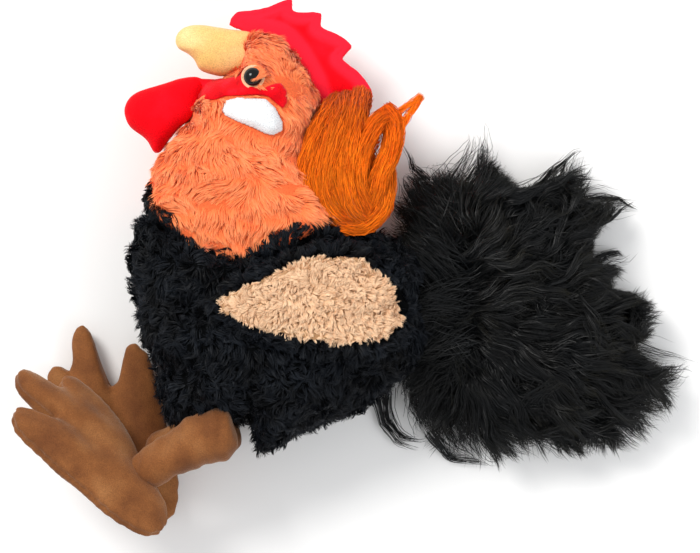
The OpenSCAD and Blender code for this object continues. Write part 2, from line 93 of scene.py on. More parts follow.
def make_camera():
    """Straight above the toy; its width covers PHOTO_WIDTH at the toy's middle plane."""
    data = bpy.data.cameras.new("camera")
    data.sensor_width = 36.0
    data.lens = data.sensor_width * (CAMERA_HEIGHT - MID * MM) / PHOTO_WIDTH
    data.clip_end = 20.0
    camera = bpy.data.objects.new("camera", data)
    camera.location = (VIEW_CENTRE[0], VIEW_CENTRE[1], CAMERA_HEIGHT)
    bpy.context.scene.collection.objects.link(camera)
    bpy.context.scene.camera = camera


def make_floor():
    mesh = bpy.data.meshes.new("floor")
    corners = [(-FLOOR_HALF, -FLOOR_HALF, 0), (FLOOR_HALF, -FLOOR_HALF, 0),
               (FLOOR_HALF, FLOOR_HALF, 0), (-FLOOR_HALF, FLOOR_HALF, 0)]
    mesh.from_pydata(corners, [], [(0, 1, 2, 3)])
    floor = link_piece("floor", mesh)
    material, _, shader = new_material("floor")
    shader.inputs["Base Color"].default_value = (0.9, 0.9, 0.9, 1)
    shader.inputs["Roughness"].default_value = 0.9
    mesh.materials.append(material)


def add_area(name, location, size, power, colour):
    """A round lamp that looks at the toy."""
    data = bpy.data.lights.new(name, "AREA")
    data.shape = "DISK"
    data.size = size
    data.energy = power
    data.color = colour
    lamp = bpy.data.objects.new(name, data)
    lamp.location = location
    direction = Vector(LAMPS_AIM) - Vector(location)
    lamp.rotation_euler = direction.to_track_quat("-Z", "Y").to_euler()
    bpy.context.scene.collection.objects.link(lamp)


def make_light():
    world = bpy.data.worlds.new("studio")
    world.use_nodes = True
    background = world.node_tree.nodes["Background"]
    background.inputs["Color"].default_value = (1.0, 1.0, 1.0, 1)
    background.inputs["Strength"].default_value = 0.75
    bpy.context.scene.world = world
    add_area("key", (-0.9, 0.9, 1.5), 0.7, 26, (1.0, 0.98, 0.95))
    add_area("fill", (1.1, -0.4, 1.2), 1.2, 8, (0.95, 0.97, 1.0))
    bpy.context.scene.view_settings.view_transform = "Standard"


# ---------------------------------------------------------------- materials

def srgb(text):
    """A hex colour as linear RGBA."""
    values = [int(text[i:i + 2], 16) / 255 for i in (1, 3, 5)]
    return tuple([((v + 0.055) / 1.055) ** 2.4 if v > 0.04045 else v / 12.92 for v in values] + [1.0])


def grey(value):
    return (value, value, value, 1)


def new_material(name):
    material = bpy.data.materials.new(name)
    material.use_nodes = True
    tree = material.node_tree
    return material, tree, tree.nodes["Principled BSDF"]


def link(tree, a, a_socket, b, b_socket):
    tree.links.new(a.outputs[a_socket], b.inputs[b_socket])


def object_noise(tree, scale, detail=3.0):
    """Noise that is fixed to the piece; scale is its features per metre."""
    place = tree.nodes.new("ShaderNodeTexCoord")
    noise = tree.nodes.new("ShaderNodeTexNoise")
    noise.inputs["Scale"].default_value = scale
    noise.inputs["Detail"].default_value = detail
    link(tree, place, "Object", noise, "Vector")
    return noise


def ramp(tree, stops):
    """A colour ramp; stops are (position, colour) from low to high."""
    node = tree.nodes.new("ShaderNodeValToRGB")
    elements = node.color_ramp.elements
    elements[0].position, elements[0].color = stops[0]
    elements[1].position, elements[1].color = stops[-1]
    for position, colour in stops[1:-1]:
        elements.new(position).color = colour
    return node


def mixed(tree, kind, factor, first, second):
    """A colour mix. Each of its inputs is a plain value or (node, output), and its result is output 2."""
    node = tree.nodes.new("ShaderNodeMix")
    node.data_type = "RGBA"
    node.blend_type = kind
    for value, index in ((factor, 0), (first, 6), (second, 7)):
        if isinstance(value, tuple) and isinstance(value[0], bpy.types.Node):
            tree.links.new(value[0].outputs[value[1]], node.inputs[index])
        else:
            node.inputs[index].default_value = value
    return node


def mesh_value(tree, name):
    """One of the values that a mesh holds at its points."""
    node = tree.nodes.new("ShaderNodeAttribute")
    node.attribute_name = name
    return node


def set_surface(shader, rough, sheen, sheen_rough, sheen_tint, specular):
    shader.inputs["Roughness"].default_value = rough
    shader.inputs["Sheen Weight"].default_value = sheen
    shader.inputs["Sheen Roughness"].default_value = sheen_rough
    shader.inputs["Sheen Tint"].default_value = sheen_tint
    shader.inputs["Specular IOR Level"].default_value = specular


def fur_material(name, stops, patch_tone_and_sheen, patch_scale=60.0, rough=0.75, sheen=0.3, sheen_tint=(1, 1, 1, 1),
                 spread=0.35, specular=0.1, drift=0.45):
    """Fibres whose colour runs from root to tip by stops, differs by spread from strand to strand with each
    strand's shade value, which on the mane is a painted shade between its hanks, and drifts in patches, as far
    as drift,
    towards patch_tone_and_sheen: a tone of the fibres, which on the black furs is a painted bluish sheen."""
    material, tree, shader = new_material(name)
    along = mesh_value(tree, "along")
    strand = mesh_value(tree, "strand")
    colours = ramp(tree, [(position, srgb(colour)) for position, colour in stops])
    link(tree, along, "Fac", colours, "Fac")
    # The patches: drawn towards patch_tone_and_sheen, a painted bluish sheen on the black furs and a tone of
    # the fibres on the others.
    noise = object_noise(tree, patch_scale)
    shade = ramp(tree, [(0.35, grey(0)), (0.7, grey(1))])
    link(tree, noise, "Fac", shade, "Fac")
    weight = tree.nodes.new("ShaderNodeMath")
    weight.operation = "MULTIPLY"
    weight.inputs[1].default_value = drift
    link(tree, shade, "Color", weight, 0)
    patched = mixed(tree, "MIX", (weight, 0), (colours, "Color"), srgb(patch_tone_and_sheen))
    varied = tree.nodes.new("ShaderNodeMapRange")
    varied.inputs["To Min"].default_value = 1.0 - spread
    varied.inputs["To Max"].default_value = 1.0 + spread
    link(tree, strand, "Fac", varied, "Value")
    bright = tree.nodes.new("ShaderNodeHueSaturation")
    link(tree, varied, "Result", bright, "Value")
    link(tree, patched, 2, bright, "Color")
    link(tree, bright, "Color", shader, "Base Color")
    set_surface(shader, rough, sheen, 0.4, sheen_tint, specular)
    return material


VELOUR_GRAIN = 1600.0                    # features of the pile's grain, per metre
VELOUR_BUMP = 0.0006


def velour_material(name, dark, colour, light, sheen, sheen_tint=(1, 1, 1, 1), drift_scale=45.0, rim=None,
                    specular=0.25):
    """Short dense pile: fine grain, brushed lighter and darker patches, and a soft sheen. rim is the colour of
    a painted highlight, which it takes where the mesh's value of that name is 1."""
    material, tree, shader = new_material(name)
    drift = object_noise(tree, drift_scale, 4.0)
    drift_ramp = ramp(tree, [(0.3, srgb(dark)), (0.5, srgb(colour)), (0.72, srgb(light))])
    link(tree, drift, "Fac", drift_ramp, "Fac")
    grain = object_noise(tree, VELOUR_GRAIN, 2.0)
    grain_ramp = ramp(tree, [(0.3, grey(0.72)), (0.7, grey(1.12))])
    link(tree, grain, "Fac", grain_ramp, "Fac")
    blended = mixed(tree, "MULTIPLY", 1.0, (drift_ramp, "Color"), (grain_ramp, "Color"))
    if rim is not None:
        blended = mixed(tree, "MIX", (mesh_value(tree, "rim"), "Fac"), (blended, 2), srgb(rim))
    link(tree, blended, 2, shader, "Base Color")
    bump = tree.nodes.new("ShaderNodeBump")
    bump.inputs["Strength"].default_value = 0.6
    bump.inputs["Distance"].default_value = VELOUR_BUMP
    link(tree, grain, "Fac", bump, "Height")
    link(tree, bump, "Normal", shader, "Normal")
    set_surface(shader, 0.85, sheen, 0.35, sheen_tint, specular)
    return material


def gloss_material(name, colour, rough):
    """Moulded plastic, a little scuffed in places."""
    material, tree, shader = new_material(name)
    noise = object_noise(tree, 300.0)
    scuffs = ramp(tree, [(0.3, grey(rough)), (0.8, grey(rough * 1.6))])
    link(tree, noise, "Fac", scuffs, "Fac")
    link(tree, scuffs, "Color", shader, "Roughness")
    shader.inputs["Base Color"].default_value = srgb(colour)
    shader.inputs["Coat Weight"].default_value = 0.15
    shader.inputs["Specular IOR Level"].default_value = 0.2
    return material


# ---------------------------------------------------------------- meshes from the CAD nodes

def link_piece(name, mesh):
    piece = bpy.data.objects.new(name, mesh)
    bpy.context.scene.collection.objects.link(piece)
    return piece


def joined_nodes(name, nodes):
    """One mesh with copies of the CAD nodes' faces."""
    points, faces = [], []
    for node in nodes:
        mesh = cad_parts[node].data
        first = len(points)
        points += [tuple(v.co) for v in mesh.vertices]
        faces += [[first + i for i in p.vertices] for p in mesh.polygons]
    mesh = bpy.data.meshes.new(name)
    mesh.from_pydata(points, [], faces)
    return link_piece(name, mesh)


def apply_modifiers(piece):
    """Puts the result of a piece's modifiers in place of its mesh."""
    depsgraph = bpy.context.evaluated_depsgraph_get()
    mesh = bpy.data.meshes.new_from_object(piece.evaluated_get(depsgraph))
    piece.modifiers.clear()
    old = piece.data
    piece.data = mesh
    bpy.data.meshes.remove(old)


def coordinates(mesh):
    values = np.zeros(len(mesh.vertices) * 3, np.float32)
    mesh.vertices.foreach_get("co", values)
    return values.reshape(-1, 3).astype(float)


def set_coordinates(mesh, points):
    mesh.vertices.foreach_set("co", points.astype(np.float32).ravel())
    mesh.update()


def vertex_normals(mesh):
    values = np.zeros(len(mesh.vertices) * 3, np.float32)
    mesh.vertex_normals.foreach_get("vector", values)
    return values.reshape(-1, 3).astype(float)


def edge_pairs(mesh):
    values = np.zeros(len(mesh.edges) * 2, np.int32)
    mesh.edges.foreach_get("vertices", values)
    return values.reshape(-1, 2)


def smooth_mesh(mesh, rounds, share=0.5):
    """Laplacian smoothing."""
    pairs = edge_pairs(mesh)
    points = coordinates(mesh)
    count = np.zeros(len(points))
    np.add.at(count, pairs.ravel(), 1)
    for _ in range(rounds):
        total = np.zeros_like(points)
        np.add.at(total, pairs[:, 0], points[pairs[:, 1]])
        np.add.at(total, pairs[:, 1], points[pairs[:, 0]])
        points += share * (total / count[:, None] - points)
    set_coordinates(mesh, points)


def keep_outer_shell(piece):
    """Deletes every island but the one with the most vertices, such as the inside of a hollow part."""
    mesh = piece.data
    pairs = edge_pairs(mesh)
    label = np.arange(len(mesh.vertices))
    while True:
        low = np.minimum(label[pairs[:, 0]], label[pairs[:, 1]])
        before = label.copy()
        np.minimum.at(label, pairs[:, 0], low)
        np.minimum.at(label, pairs[:, 1], low)
        label = label[label]
        if (label == before).all():
            break
    points = coordinates(mesh)
    outer = np.bincount(label).argmax()
    keep = np.flatnonzero(label == outer)
    renumber = -np.ones(len(points), int)
    renumber[keep] = np.arange(len(keep))
    faces = [[renumber[i] for i in p.vertices] for p in mesh.polygons if renumber[p.vertices[0]] >= 0]
    clean = bpy.data.meshes.new(piece.name)
    clean.from_pydata(points[keep].tolist(), [], faces)
    piece.data = clean
    bpy.data.meshes.remove(mesh)


def skin(name, nodes, voxel, rounds):
    """A smooth closed surface round CAD nodes."""
    piece = joined_nodes(name, nodes)
    modifier = piece.modifiers.new("remesh", "REMESH")
    modifier.mode = "VOXEL"
    modifier.voxel_size = voxel * MM
    apply_modifiers(piece)
    keep_outer_shell(piece)
    smooth_mesh(piece.data, rounds)
    return piece


def working_points(piece):
    """A piece's vertices in part.scad's working frame, in mm."""
    return local(coordinates(piece.data))


def set_working_points(piece, points):
    set_coordinates(piece.data, in_row(points))


def move_along_normals(piece, amounts):
    """Moves each vertex along its normal, by amounts in mm."""
    mesh = piece.data
    points = coordinates(mesh)
    points += vertex_normals(mesh) * (np.asarray(amounts) * MM).reshape(-1, 1)
    set_coordinates(mesh, points)


def shade_smooth(mesh):
    mesh.polygons.foreach_set("use_smooth", np.ones(len(mesh.polygons), bool))


def finish_skin(piece, material, body, replaced, subdivide=False):
    """Material and labels. Without a body, it is left for the caller to place."""
    if subdivide:
        modifier = piece.modifiers.new("subdivide", "SUBSURF")
        modifier.levels = 1
        modifier.render_levels = 1
        apply_modifiers(piece)
    shade_smooth(piece.data)
    piece.data.materials.clear()
    piece.data.materials.append(material)
    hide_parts(*replaced)
    if body:
        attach(piece, body)
    return piece


# ---------------------------------------------------------------- fur

def unit(v):
    return v / np.maximum(np.linalg.norm(v, axis=-1, keepdims=True), 1e-9)


def waves(points, size, seed, count=5):
    """Smooth vector noise about size mm across, from a few sine waves; each part is from -1 to 1."""
    rng = np.random.default_rng(seed)
    directions = unit(rng.normal(size=(count, 3, 3)))
    phases = rng.uniform(0, 2 * math.pi, (count, 3))
    scale = rng.uniform(0.7, 1.5, (count, 3)) * 2 * math.pi / size
    angles = np.einsum("nk,cdk->ncd", points, directions) * scale + phases
    return np.sin(angles).sum(1) / math.sqrt(count)


def scatter(mesh, count, rng, weight=None):
    """Random points on a mesh, in working mm, with the smooth normals there. weight is a function of normals
    that says how dense the points are."""
    mesh.calc_loop_triangles()
    tris = np.zeros(len(mesh.loop_triangles) * 3, np.int32)
    mesh.loop_triangles.foreach_get("vertices", tris)
    tris = tris.reshape(-1, 3)
    points = local(coordinates(mesh))
    normals = vertex_normals(mesh)
    a, b, c = points[tris[:, 0]], points[tris[:, 1]], points[tris[:, 2]]
    area = np.linalg.norm(np.cross(b - a, c - a), axis=1) / 2
    if weight is not None:
        area = area * weight(unit(normals[tris].sum(1)))
    pick = rng.choice(len(tris), count, p=area / area.sum())
    u, v = rng.random(count), rng.random(count)
    over = u + v > 1
    u[over], v[over] = 1 - u[over], 1 - v[over]
    w = 1 - u - v
    t = tris[pick]
    where = points[t[:, 0]] * w[:, None] + points[t[:, 1]] * u[:, None] + points[t[:, 2]] * v[:, None]
    normal = normals[t[:, 0]] * w[:, None] + normals[t[:, 1]] * u[:, None] + normals[t[:, 2]] * v[:, None]
    return where, unit(normal)


def nearest(points, targets):
    """For each point, the index of the nearest target."""
    tree = KDTree(len(targets))
    for i, p in enumerate(targets):
        tree.insert(p, i)
    tree.balance()
    return np.array([tree.find(p)[1] for p in points])


ROOT_DEPTH = 0.8                         # how far a strand starts under the surface, in mm


def grow(roots, normals, flow, length, lift, steps, rng, clump_size=0.0, clump=0.0, curl=0.0, curl_size=6.0,
         tousle=0.0, seed=1):
    """Paths of strands, as an array of strand, step and xyz in working mm. A strand leaves along the normal,
    by lift, and leans over along flow; clumps share a lean and draw together towards their tips."""
    count = len(roots)
    along = unit(flow - normals * (flow * normals).sum(1, keepdims=True))
    owner = None
    if clump_size > 0:
        cells = np.floor(roots / clump_size + rng.random(3)).astype(int)
        centres = np.unique(cells, axis=0, return_index=True)[1]
        owner = centres[nearest(roots, roots[centres])]
        lean = rng.normal(size=(count, 3)) * tousle
        along = unit(along + lean[owner])
        along = unit(along - normals * 0.5 * (along * normals).sum(1, keepdims=True))
    paths = np.zeros((count, steps + 1, 3))
    paths[:, 0] = roots - normals * ROOT_DEPTH
    lift = np.broadcast_to(lift, (count,))[:, None]
    length = np.broadcast_to(length, (count,))[:, None]
    for k in range(steps):
        t = (k + 0.5) / steps
        heading = unit(normals * lift * (1 - t) ** 1.5 + along * (0.25 + t))
        if curl > 0:
            heading = unit(heading + curl * waves(paths[:, k], curl_size, seed + 17))
        paths[:, k + 1] = paths[:, k] + heading * length / steps
    if owner is not None:
        fractions = (np.linspace(0, 1, steps + 1) ** 1.4)[None, :, None] * clump
        paths += (paths[owner] - paths) * fractions
    paths[:, :, 2] = np.maximum(paths[:, :, 2], FUR_FLOOR)
    return paths


def resampled(paths, index):
    """Each path's points at fractional places along it; index has a row of places for each path."""
    low = np.minimum(index.astype(int), paths.shape[1] - 2)
    part = (index - low)[..., None]
    rows = np.arange(len(paths))[:, None]
    return paths[rows, low] * (1 - part) + paths[rows, low + 1] * part


STRAND_TURN = 0.45                       # how unevenly the flat sides of strands look


def strand_mesh(name, paths, radius, shade, facing, rng, tip_share=0.25):
    """Flat pointed strands along the paths, with a share along each and a shade for each. facing is the way
    the strands' flat sides mostly look."""
    count, rings, _ = paths.shape
    body_rings = rings - 1
    tangent = unit(np.gradient(paths, axis=1))[:, :body_rings]
    turned = unit(facing + STRAND_TURN * rng.normal(size=(count, 3)))[:, None]
    side = unit(np.cross(tangent, turned))
    share = np.linspace(0, 1, rings)[:body_rings]
    taper = (1 - share) ** 0.6 * (1 - tip_share) + tip_share
    offset = side * np.broadcast_to(radius, (count,))[:, None, None] * taper[None, :, None]
    edges = np.stack([paths[:, :body_rings] - offset, paths[:, :body_rings] + offset], axis=2)
    points = np.concatenate([edges.reshape(count, body_rings * 2, 3), paths[:, -1:]], axis=1)
    per = body_rings * 2 + 1
    faces = []
    for k in range(0, 2 * (body_rings - 1), 2):
        faces += [(k, k + 1, k + 3), (k, k + 3, k + 2)]
    faces.append((per - 3, per - 2, per - 1))
    faces = np.array(faces, np.int64)
    triangles = (faces[None] + (np.arange(count) * per)[:, None, None]).reshape(-1, 3)
    mesh = mesh_from_triangles(name, in_row(points.reshape(-1, 3)), triangles)
    vertex_share = np.concatenate([np.repeat(share, 2), [1.0]])
    set_point_values(mesh, "along", np.tile(vertex_share, count))
    set_point_values(mesh, "strand", np.repeat(shade, per))
    add_strand_uv(mesh, triangles, per, vertex_share, count)
    shade_smooth(mesh)
    return mesh


def mesh_from_triangles(name, points, triangles):
    mesh = bpy.data.meshes.new(name)
    mesh.vertices.add(len(points))
    mesh.vertices.foreach_set("co", points.astype(np.float32).ravel())
    mesh.loops.add(len(triangles) * 3)
    mesh.loops.foreach_set("vertex_index", triangles.astype(np.int32).ravel())
    mesh.polygons.add(len(triangles))
    mesh.polygons.foreach_set("loop_start", np.arange(0, len(triangles) * 3, 3, dtype=np.int32))
    mesh.update(calc_edges=True)
    mesh.validate()
    return mesh


def set_point_values(mesh, name, values):
    """Named values at a mesh's points, for its material."""
    attribute = mesh.attributes.new(name, "FLOAT", "POINT")
    attribute.data.foreach_set("value", values.astype(np.float32))


UV_MARGIN = 0.15                         # round a strand, as a share of its cell
UV_SIZE = 1 - 2 * UV_MARGIN


def add_strand_uv(mesh, triangles, per, vertex_share, count):
    """Each strand has a small cell of the map, with its root at the cell's foot."""
    cells = math.ceil(math.sqrt(count))
    vertex = triangles.ravel()
    strand = vertex // per
    corner = vertex % per
    column, row = strand % cells, strand // cells
    across = np.where(corner == per - 1, 0.5, corner % 2)
    uv = np.stack([(column + UV_MARGIN + UV_SIZE * across) / cells,
                   (row + UV_MARGIN + UV_SIZE * vertex_share[corner]) / cells], 1)
    layer = mesh.uv_layers.new(name="OFBake")
    layer.data.foreach_set("uv", uv.astype(np.float32).ravel())


def fur_pieces(name, paths, radius, material, place, seed, shade=None, tip_share=0.25,
               facing=(0.0, 0.0, 1.0)):
    """Strands as one or more pieces, none with too many triangles. place puts a piece on its body, and radius
    is half of a strand's width at its root, in mm."""
    rng = np.random.default_rng(seed)
    count, rings, _ = paths.shape
    if shade is None:
        shade = rng.random(count)
    parts = max(1, math.ceil(count * (2 * rings - 3) / MAX_TRIANGLES))
    order = np.argsort(paths[:, 0, 0], kind="stable")
    radius = np.broadcast_to(radius, (count,))
    facing = np.broadcast_to(facing, (count, 3))
    made = []
    for i, chosen in enumerate(np.array_split(order, parts)):
        piece_name = name if parts == 1 else f"{name}_{i + 1}"
        mesh = strand_mesh(piece_name, paths[chosen], radius[chosen], shade[chosen], facing[chosen], rng,
                           tip_share)
        mesh.materials.append(material)
        piece = link_piece(piece_name, mesh)
        place(piece)
        made.append(piece)
    return made


def on(body):
    """A function that puts a piece on one body."""
    return lambda piece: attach(piece, body)


def on_neck(piece):
    """The sewn skin and its fur between the body and the head: their transform is baked into the mesh, and
    they go on no body.
    """
    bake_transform(piece)


# ---------------------------------------------------------------- body, neck and head

def smoothstep(x, low, high):
    t = np.clip((x - low) / (high - low), 0, 1)
    return t * t * (3 - 2 * t)


def from_neck(points):
    """Distance from the neck's pivot in plan, in mm."""
    return np.linalg.norm(points[:, :2] - NECK_PIVOT, axis=1)


def side_weight(normals):
    """Less fur underneath, where the toy lies on it."""
    return np.where(normals[:, 2] < -0.6, 0.25, 1.0)


def inside(points, outline):
    """Which points lie inside an outline, in plan."""
    x, y = points[:, 0], points[:, 1]
    found = np.zeros(len(points), bool)
    for (x0, y0), (x1, y1) in zip(outline, outline[1:] + outline[:1]):
        crosses = ((y0 > y) != (y1 > y)) & (x < (x1 - x0) * (y - y0) / (y1 - y0 + 1e-12) + x0)
        found ^= crosses
    return found


BODY_PILE = 9.0                          # how long the black plush's strands are, in mm
WING_PILE = 8.0
HEAD_PILE = 8.0
TAN_PILE = 5.6
BODY_MIDDLE = np.array([-33.0, -42.0, MID])
NECK_SEAT = 70.5                         # no black pile nearer than this to the neck's pivot, in mm
HIP_COVER = 11.0                         # how far the body's skin is drawn down over the hips, in mm
# The pile's curls and tufts, which all the black plush has in common.
BLACK_PLUSH = {"lift": 0.7, "steps": 4, "clump_size": 4.0, "curl_size": 8.0}


def make_body(material, fur):
    nodes = ["body_panel_left", "body_panel_right", "body_stuffing_left", "body_stuffing_right"]
    piece = skin("body_skin", nodes, 3.5, 4)
    near_neck = 1 - smoothstep(from_neck(working_points(piece)), 72, 84)
    move_along_normals(piece, -3.0 * (1 - near_neck))
    points = working_points(piece)
    over_leg = smoothstep(-points[:, 1], 52, 70) * smoothstep(-points[:, 0], 46, 58)
    points[:, 1] -= HIP_COVER * over_leg
    set_working_points(piece, points)
    hidden = nodes + ["squeaker_bladder", "squeaker_reed"]
    finish_skin(piece, material, None, hidden)
    rng = np.random.default_rng(11)
    roots, normals = scatter(piece.data, int(BODY_STRANDS * FUR_SHARE), rng, side_weight)
    keep = from_neck(roots) > NECK_SEAT
    roots, normals = roots[keep], normals[keep]
    flow = np.array([0.25, -0.6, 0.0]) + 1.0 * waves(roots, 36.0, 5) + 0.010 * (roots - BODY_MIDDLE)
    length = BODY_PILE * (0.7 + 0.5 * rng.random(len(roots)))
    paths = grow(roots, normals, flow, length, rng=rng, clump=0.4, curl=0.5, tousle=0.6, seed=21,
                 **BLACK_PLUSH)
    fur_pieces("body_fur", paths, 0.24, fur, on_neck, 31, facing=normals)
    on_neck(piece)


# The lower edge of the orange fur, as the black fur laps over it: x and y in mm, from left to right.
LAP_X = [-112.0, -104.0, -102.0, -93.0, -84.0, -75.0, -63.0, -51.5, -45.0, -30.5, -22.0, -11.0, -1.5]
LAP_Y = [47.0, 45.0, 35.0, 25.0, 15.0, 8.0, 5.0, 7.0, 12.5, 19.0, 21.5, 23.0, 25.0]
LAP_OVER = 3.0                           # how far above that edge the orange pile is rooted, in mm
# Places on the head without strands, as something is sewn on there: the red face band, the white ear patch and
# the eye. x and y in mm.
BAND = [(-81, 105), (-69.5, 104.6), (-56.3, 105.1), (-53.5, 108.5), (-51.5, 102.9), (-48.1, 98.3),
        (-42.6, 96.9), (-37.2, 99.6), (-32.2, 100.7), (-28.9, 96.3), (-28.4, 89.2), (-31.1, 85.9),
        (-35, 88.7), (-39.3, 92.5), (-46.5, 93.1), (-62.9, 93.1), (-69.5, 90.9), (-75, 91.4), (-81, 92.5)]
EAR = [(-65.1, 85.4), (-62.9, 90.9), (-56.3, 92.5), (-40.4, 91.4), (-35, 86.5), (-31.1, 78.8), (-31.1, 73.9),
       (-36.1, 71.1), (-40.4, 71.7), (-47, 75), (-56.3, 78.8), (-62.9, 82.1)]
EYE = np.array([-47.5, 103.4])
EYE_BARE = 4.6                           # no strands nearer than this to the eye's middle, in mm
FACE = np.array([-50.0, 98.0, MID])      # the head's pile is combed away from here


def make_head(material, fur, black_fur):
    nodes = ["head_panel_left", "head_panel_right", "head_stuffing_left", "head_stuffing_right"]
    piece = skin("head_skin", nodes, 3.0, 3)
    crown_and_face = smoothstep(working_points(piece)[:, 1], 70, 95)
    move_along_normals(piece, -2.2 * (1 - crown_and_face))
    finish_skin(piece, material, None, nodes)
    rng = np.random.default_rng(12)
    roots, normals = scatter(piece.data, int(HEAD_STRANDS * FUR_SHARE), rng, side_weight)
    from_eye = np.linalg.norm(roots[:, :2] - EYE, axis=1)
    bare = inside(roots, BAND) | inside(roots, EAR) | (from_eye < EYE_BARE)
    roots, normals = roots[~bare], normals[~bare]
    ragged = 0.7 * waves(roots * [1, 1, 0], 20.0, 3)[:, 0]
    black = roots[:, 1] + ragged < np.interp(roots[:, 0], LAP_X, LAP_Y) + LAP_OVER
    grow_head(roots[~black], normals[~black], fur, rng)
    grow_collar(roots[black], normals[black], black_fur, rng)
    return piece


def grow_collar(roots, normals, fur, rng):
    """The black pile where the body's plush laps over the neck."""
    flow = np.array([0.15, -0.7, 0.0]) + 0.6 * waves(roots, 30.0, 5)
    length = BODY_PILE * (0.5 + 0.4 * rng.random(len(roots)))
    paths = grow(roots, normals, flow, length, rng=rng, clump=0.35, curl=0.4, tousle=0.3, seed=28,
                 **BLACK_PLUSH)
    fur_pieces("collar_fur", paths, 0.26, fur, on_neck, 39, facing=normals)


def grow_head(roots, normals, fur, rng):
    """The orange pile, swept over the eye from the right and shorter round it."""
    flow = unit(roots - FACE) + np.array([0.15, -0.3, 0.0]) + 0.75 * waves(roots, 34.0, 6)
    from_eye = roots[:, :2] - EYE
    over_eye = np.exp(-(np.linalg.norm(from_eye - [6.0, 4.0], axis=1) / 6.0) ** 2)
    flow += over_eye[:, None] * np.array([-3.0, -1.6, 0.0])
    near_face = 1 - smoothstep(np.linalg.norm(from_eye, axis=1), 8, 36)
    length = HEAD_PILE * (0.75 + 0.45 * rng.random(len(roots))) * (1 - 0.3 * near_face)
    paths = grow(roots, normals, flow, length, 0.36, 4, rng, clump_size=3.5, clump=0.16, curl=0.3,
                 curl_size=14.0, tousle=0.16, seed=22)
    fur_pieces("head_fur", paths, 0.25, fur, on_neck, 32, facing=normals)


# ---------------------------------------------------------------- beak, wattle, comb, band, ear and eyes

def make_padded_part(name, nodes, voxel, rounds, material, body, tuck=None):
    """tuck = (x, reach): the part is drawn out by reach, to the right of x, under the fur."""
    piece = skin(name, nodes, voxel, rounds)
    if tuck:
        edge, reach = tuck
        points = working_points(piece)
        points[:, 0] += reach * smoothstep(points[:, 0], edge - 8, edge)
        set_working_points(piece, points)
    return finish_skin(piece, material, body, nodes, subdivide=True)


def with_level(points, level):
    """Points in plan with a height."""
    return np.concatenate([points, np.broadcast_to(level, (len(points), 1))], 1)


def grid_patch(outline, cell):
    """A flat mesh of small squares that fills an outline; its border is drawn onto the outline. Also gives
    each point's distance from the border."""
    outline = np.array(outline, float)
    closed = np.concatenate([outline, outline[:1]])
    rim = np.concatenate([a + (b - a) * np.linspace(0, 1, 12)[:-1, None] for a, b in zip(closed, closed[1:])])
    low, high = outline.min(0) - cell, outline.max(0) + cell
    xs, ys = np.arange(low[0], high[0], cell), np.arange(low[1], high[1], cell)
    grid = np.stack(np.meshgrid(xs, ys, indexing="ij"), -1)
    full = inside((grid[:-1, :-1] + cell / 2).reshape(-1, 2), [tuple(p) for p in outline])
    full = full.reshape(len(xs) - 1, len(ys) - 1)
    index = np.arange(len(xs) * len(ys)).reshape(len(xs), len(ys))
    i, j = np.nonzero(full)
    quads = np.stack([index[i, j], index[i + 1, j], index[i + 1, j + 1], index[i, j + 1]], 1)
    uses = np.bincount(quads.ravel(), minlength=index.size)
    used = np.flatnonzero(uses)
    renumber = -np.ones(index.size, int)
    renumber[used] = np.arange(len(used))
    points = grid.reshape(-1, 2)[used]
    border = uses[used] < 4
    near = rim[nearest(with_level(points, 0.0), with_level(rim, 0.0))]
    points[border] = near[border]
    distance = np.linalg.norm(points - near, axis=1)
    return points, renumber[quads], distance


def levels_on(piece, places, side):
    """The height in mm of a piece's surface at places in plan, seen from a side; nan where it has none."""
    tree = BVHTree.FromObject(piece, bpy.context.evaluated_depsgraph_get())
    level = np.full(len(places), np.nan)
    for i, (x, y) in enumerate(places):
        hit = tree.ray_cast(Vector(at(x, y, MID + side * RAY_START)), Vector((0, 0, -side)))[0]
        if hit is not None:
            level[i] = hit.z / MM
    return level


PATCH_CELL = 0.9                         # the size of a sewn-on patch's squares, in mm
PATCH_CLOTH = 1.5                        # how thick a sewn-on patch's cloth is, in mm


def drape(name, outline, under, side, height, edge, material, replaced):
    """A sewn-on patch that follows the piece under it, raised by height inside its edge."""
    points, quads, distance = grid_patch(outline, PATCH_CELL)
    level = levels_on(under, points, side)
    known = np.flatnonzero(~np.isnan(level))
    flat = with_level(points, 0.0)
    level = level[known[nearest(flat, flat[known])]]
    raised = 0.3 + height * np.sqrt(smoothstep(distance, -edge * 0.1, edge))
    raised += 0.25 * waves(flat, 9.0, 71)[:, 0] * smoothstep(distance, 0.5, 3)
    if side < 0:
        quads = quads[:, ::-1]
    mesh = bpy.data.meshes.new(name)
    top = with_level(points, (level + side * raised)[:, None])
    mesh.from_pydata(in_row(top).tolist(), [], quads.tolist())
    piece = link_piece(name, mesh)
    smooth_mesh(mesh, 2)
    modifier = piece.modifiers.new("back", "SOLIDIFY")
    modifier.thickness = PATCH_CLOTH * MM
    modifier.offset = -1.0
    apply_modifiers(piece)
    return finish_skin(piece, material, "head", replaced)


FUZZ_RADIUS = 0.12


def fuzz(name, piece, count, length, material, body, seed):
    """Very short pile over a finished piece."""
    rng = np.random.default_rng(seed)
    roots, normals = scatter(piece.data, int(count * FUR_SHARE), rng)
    flow = np.array([0.2, -0.6, 0.1]) + 0.6 * waves(roots, 25.0, seed)
    size = length * (0.7 + 0.6 * rng.random(len(roots)))
    paths = grow(roots, normals, flow, size, 0.8, 2, rng, seed=seed)
    paths[:, 0] += normals * 0.5
    fur_pieces(name, paths, FUZZ_RADIUS, material, on(body), seed + 100, facing=normals)


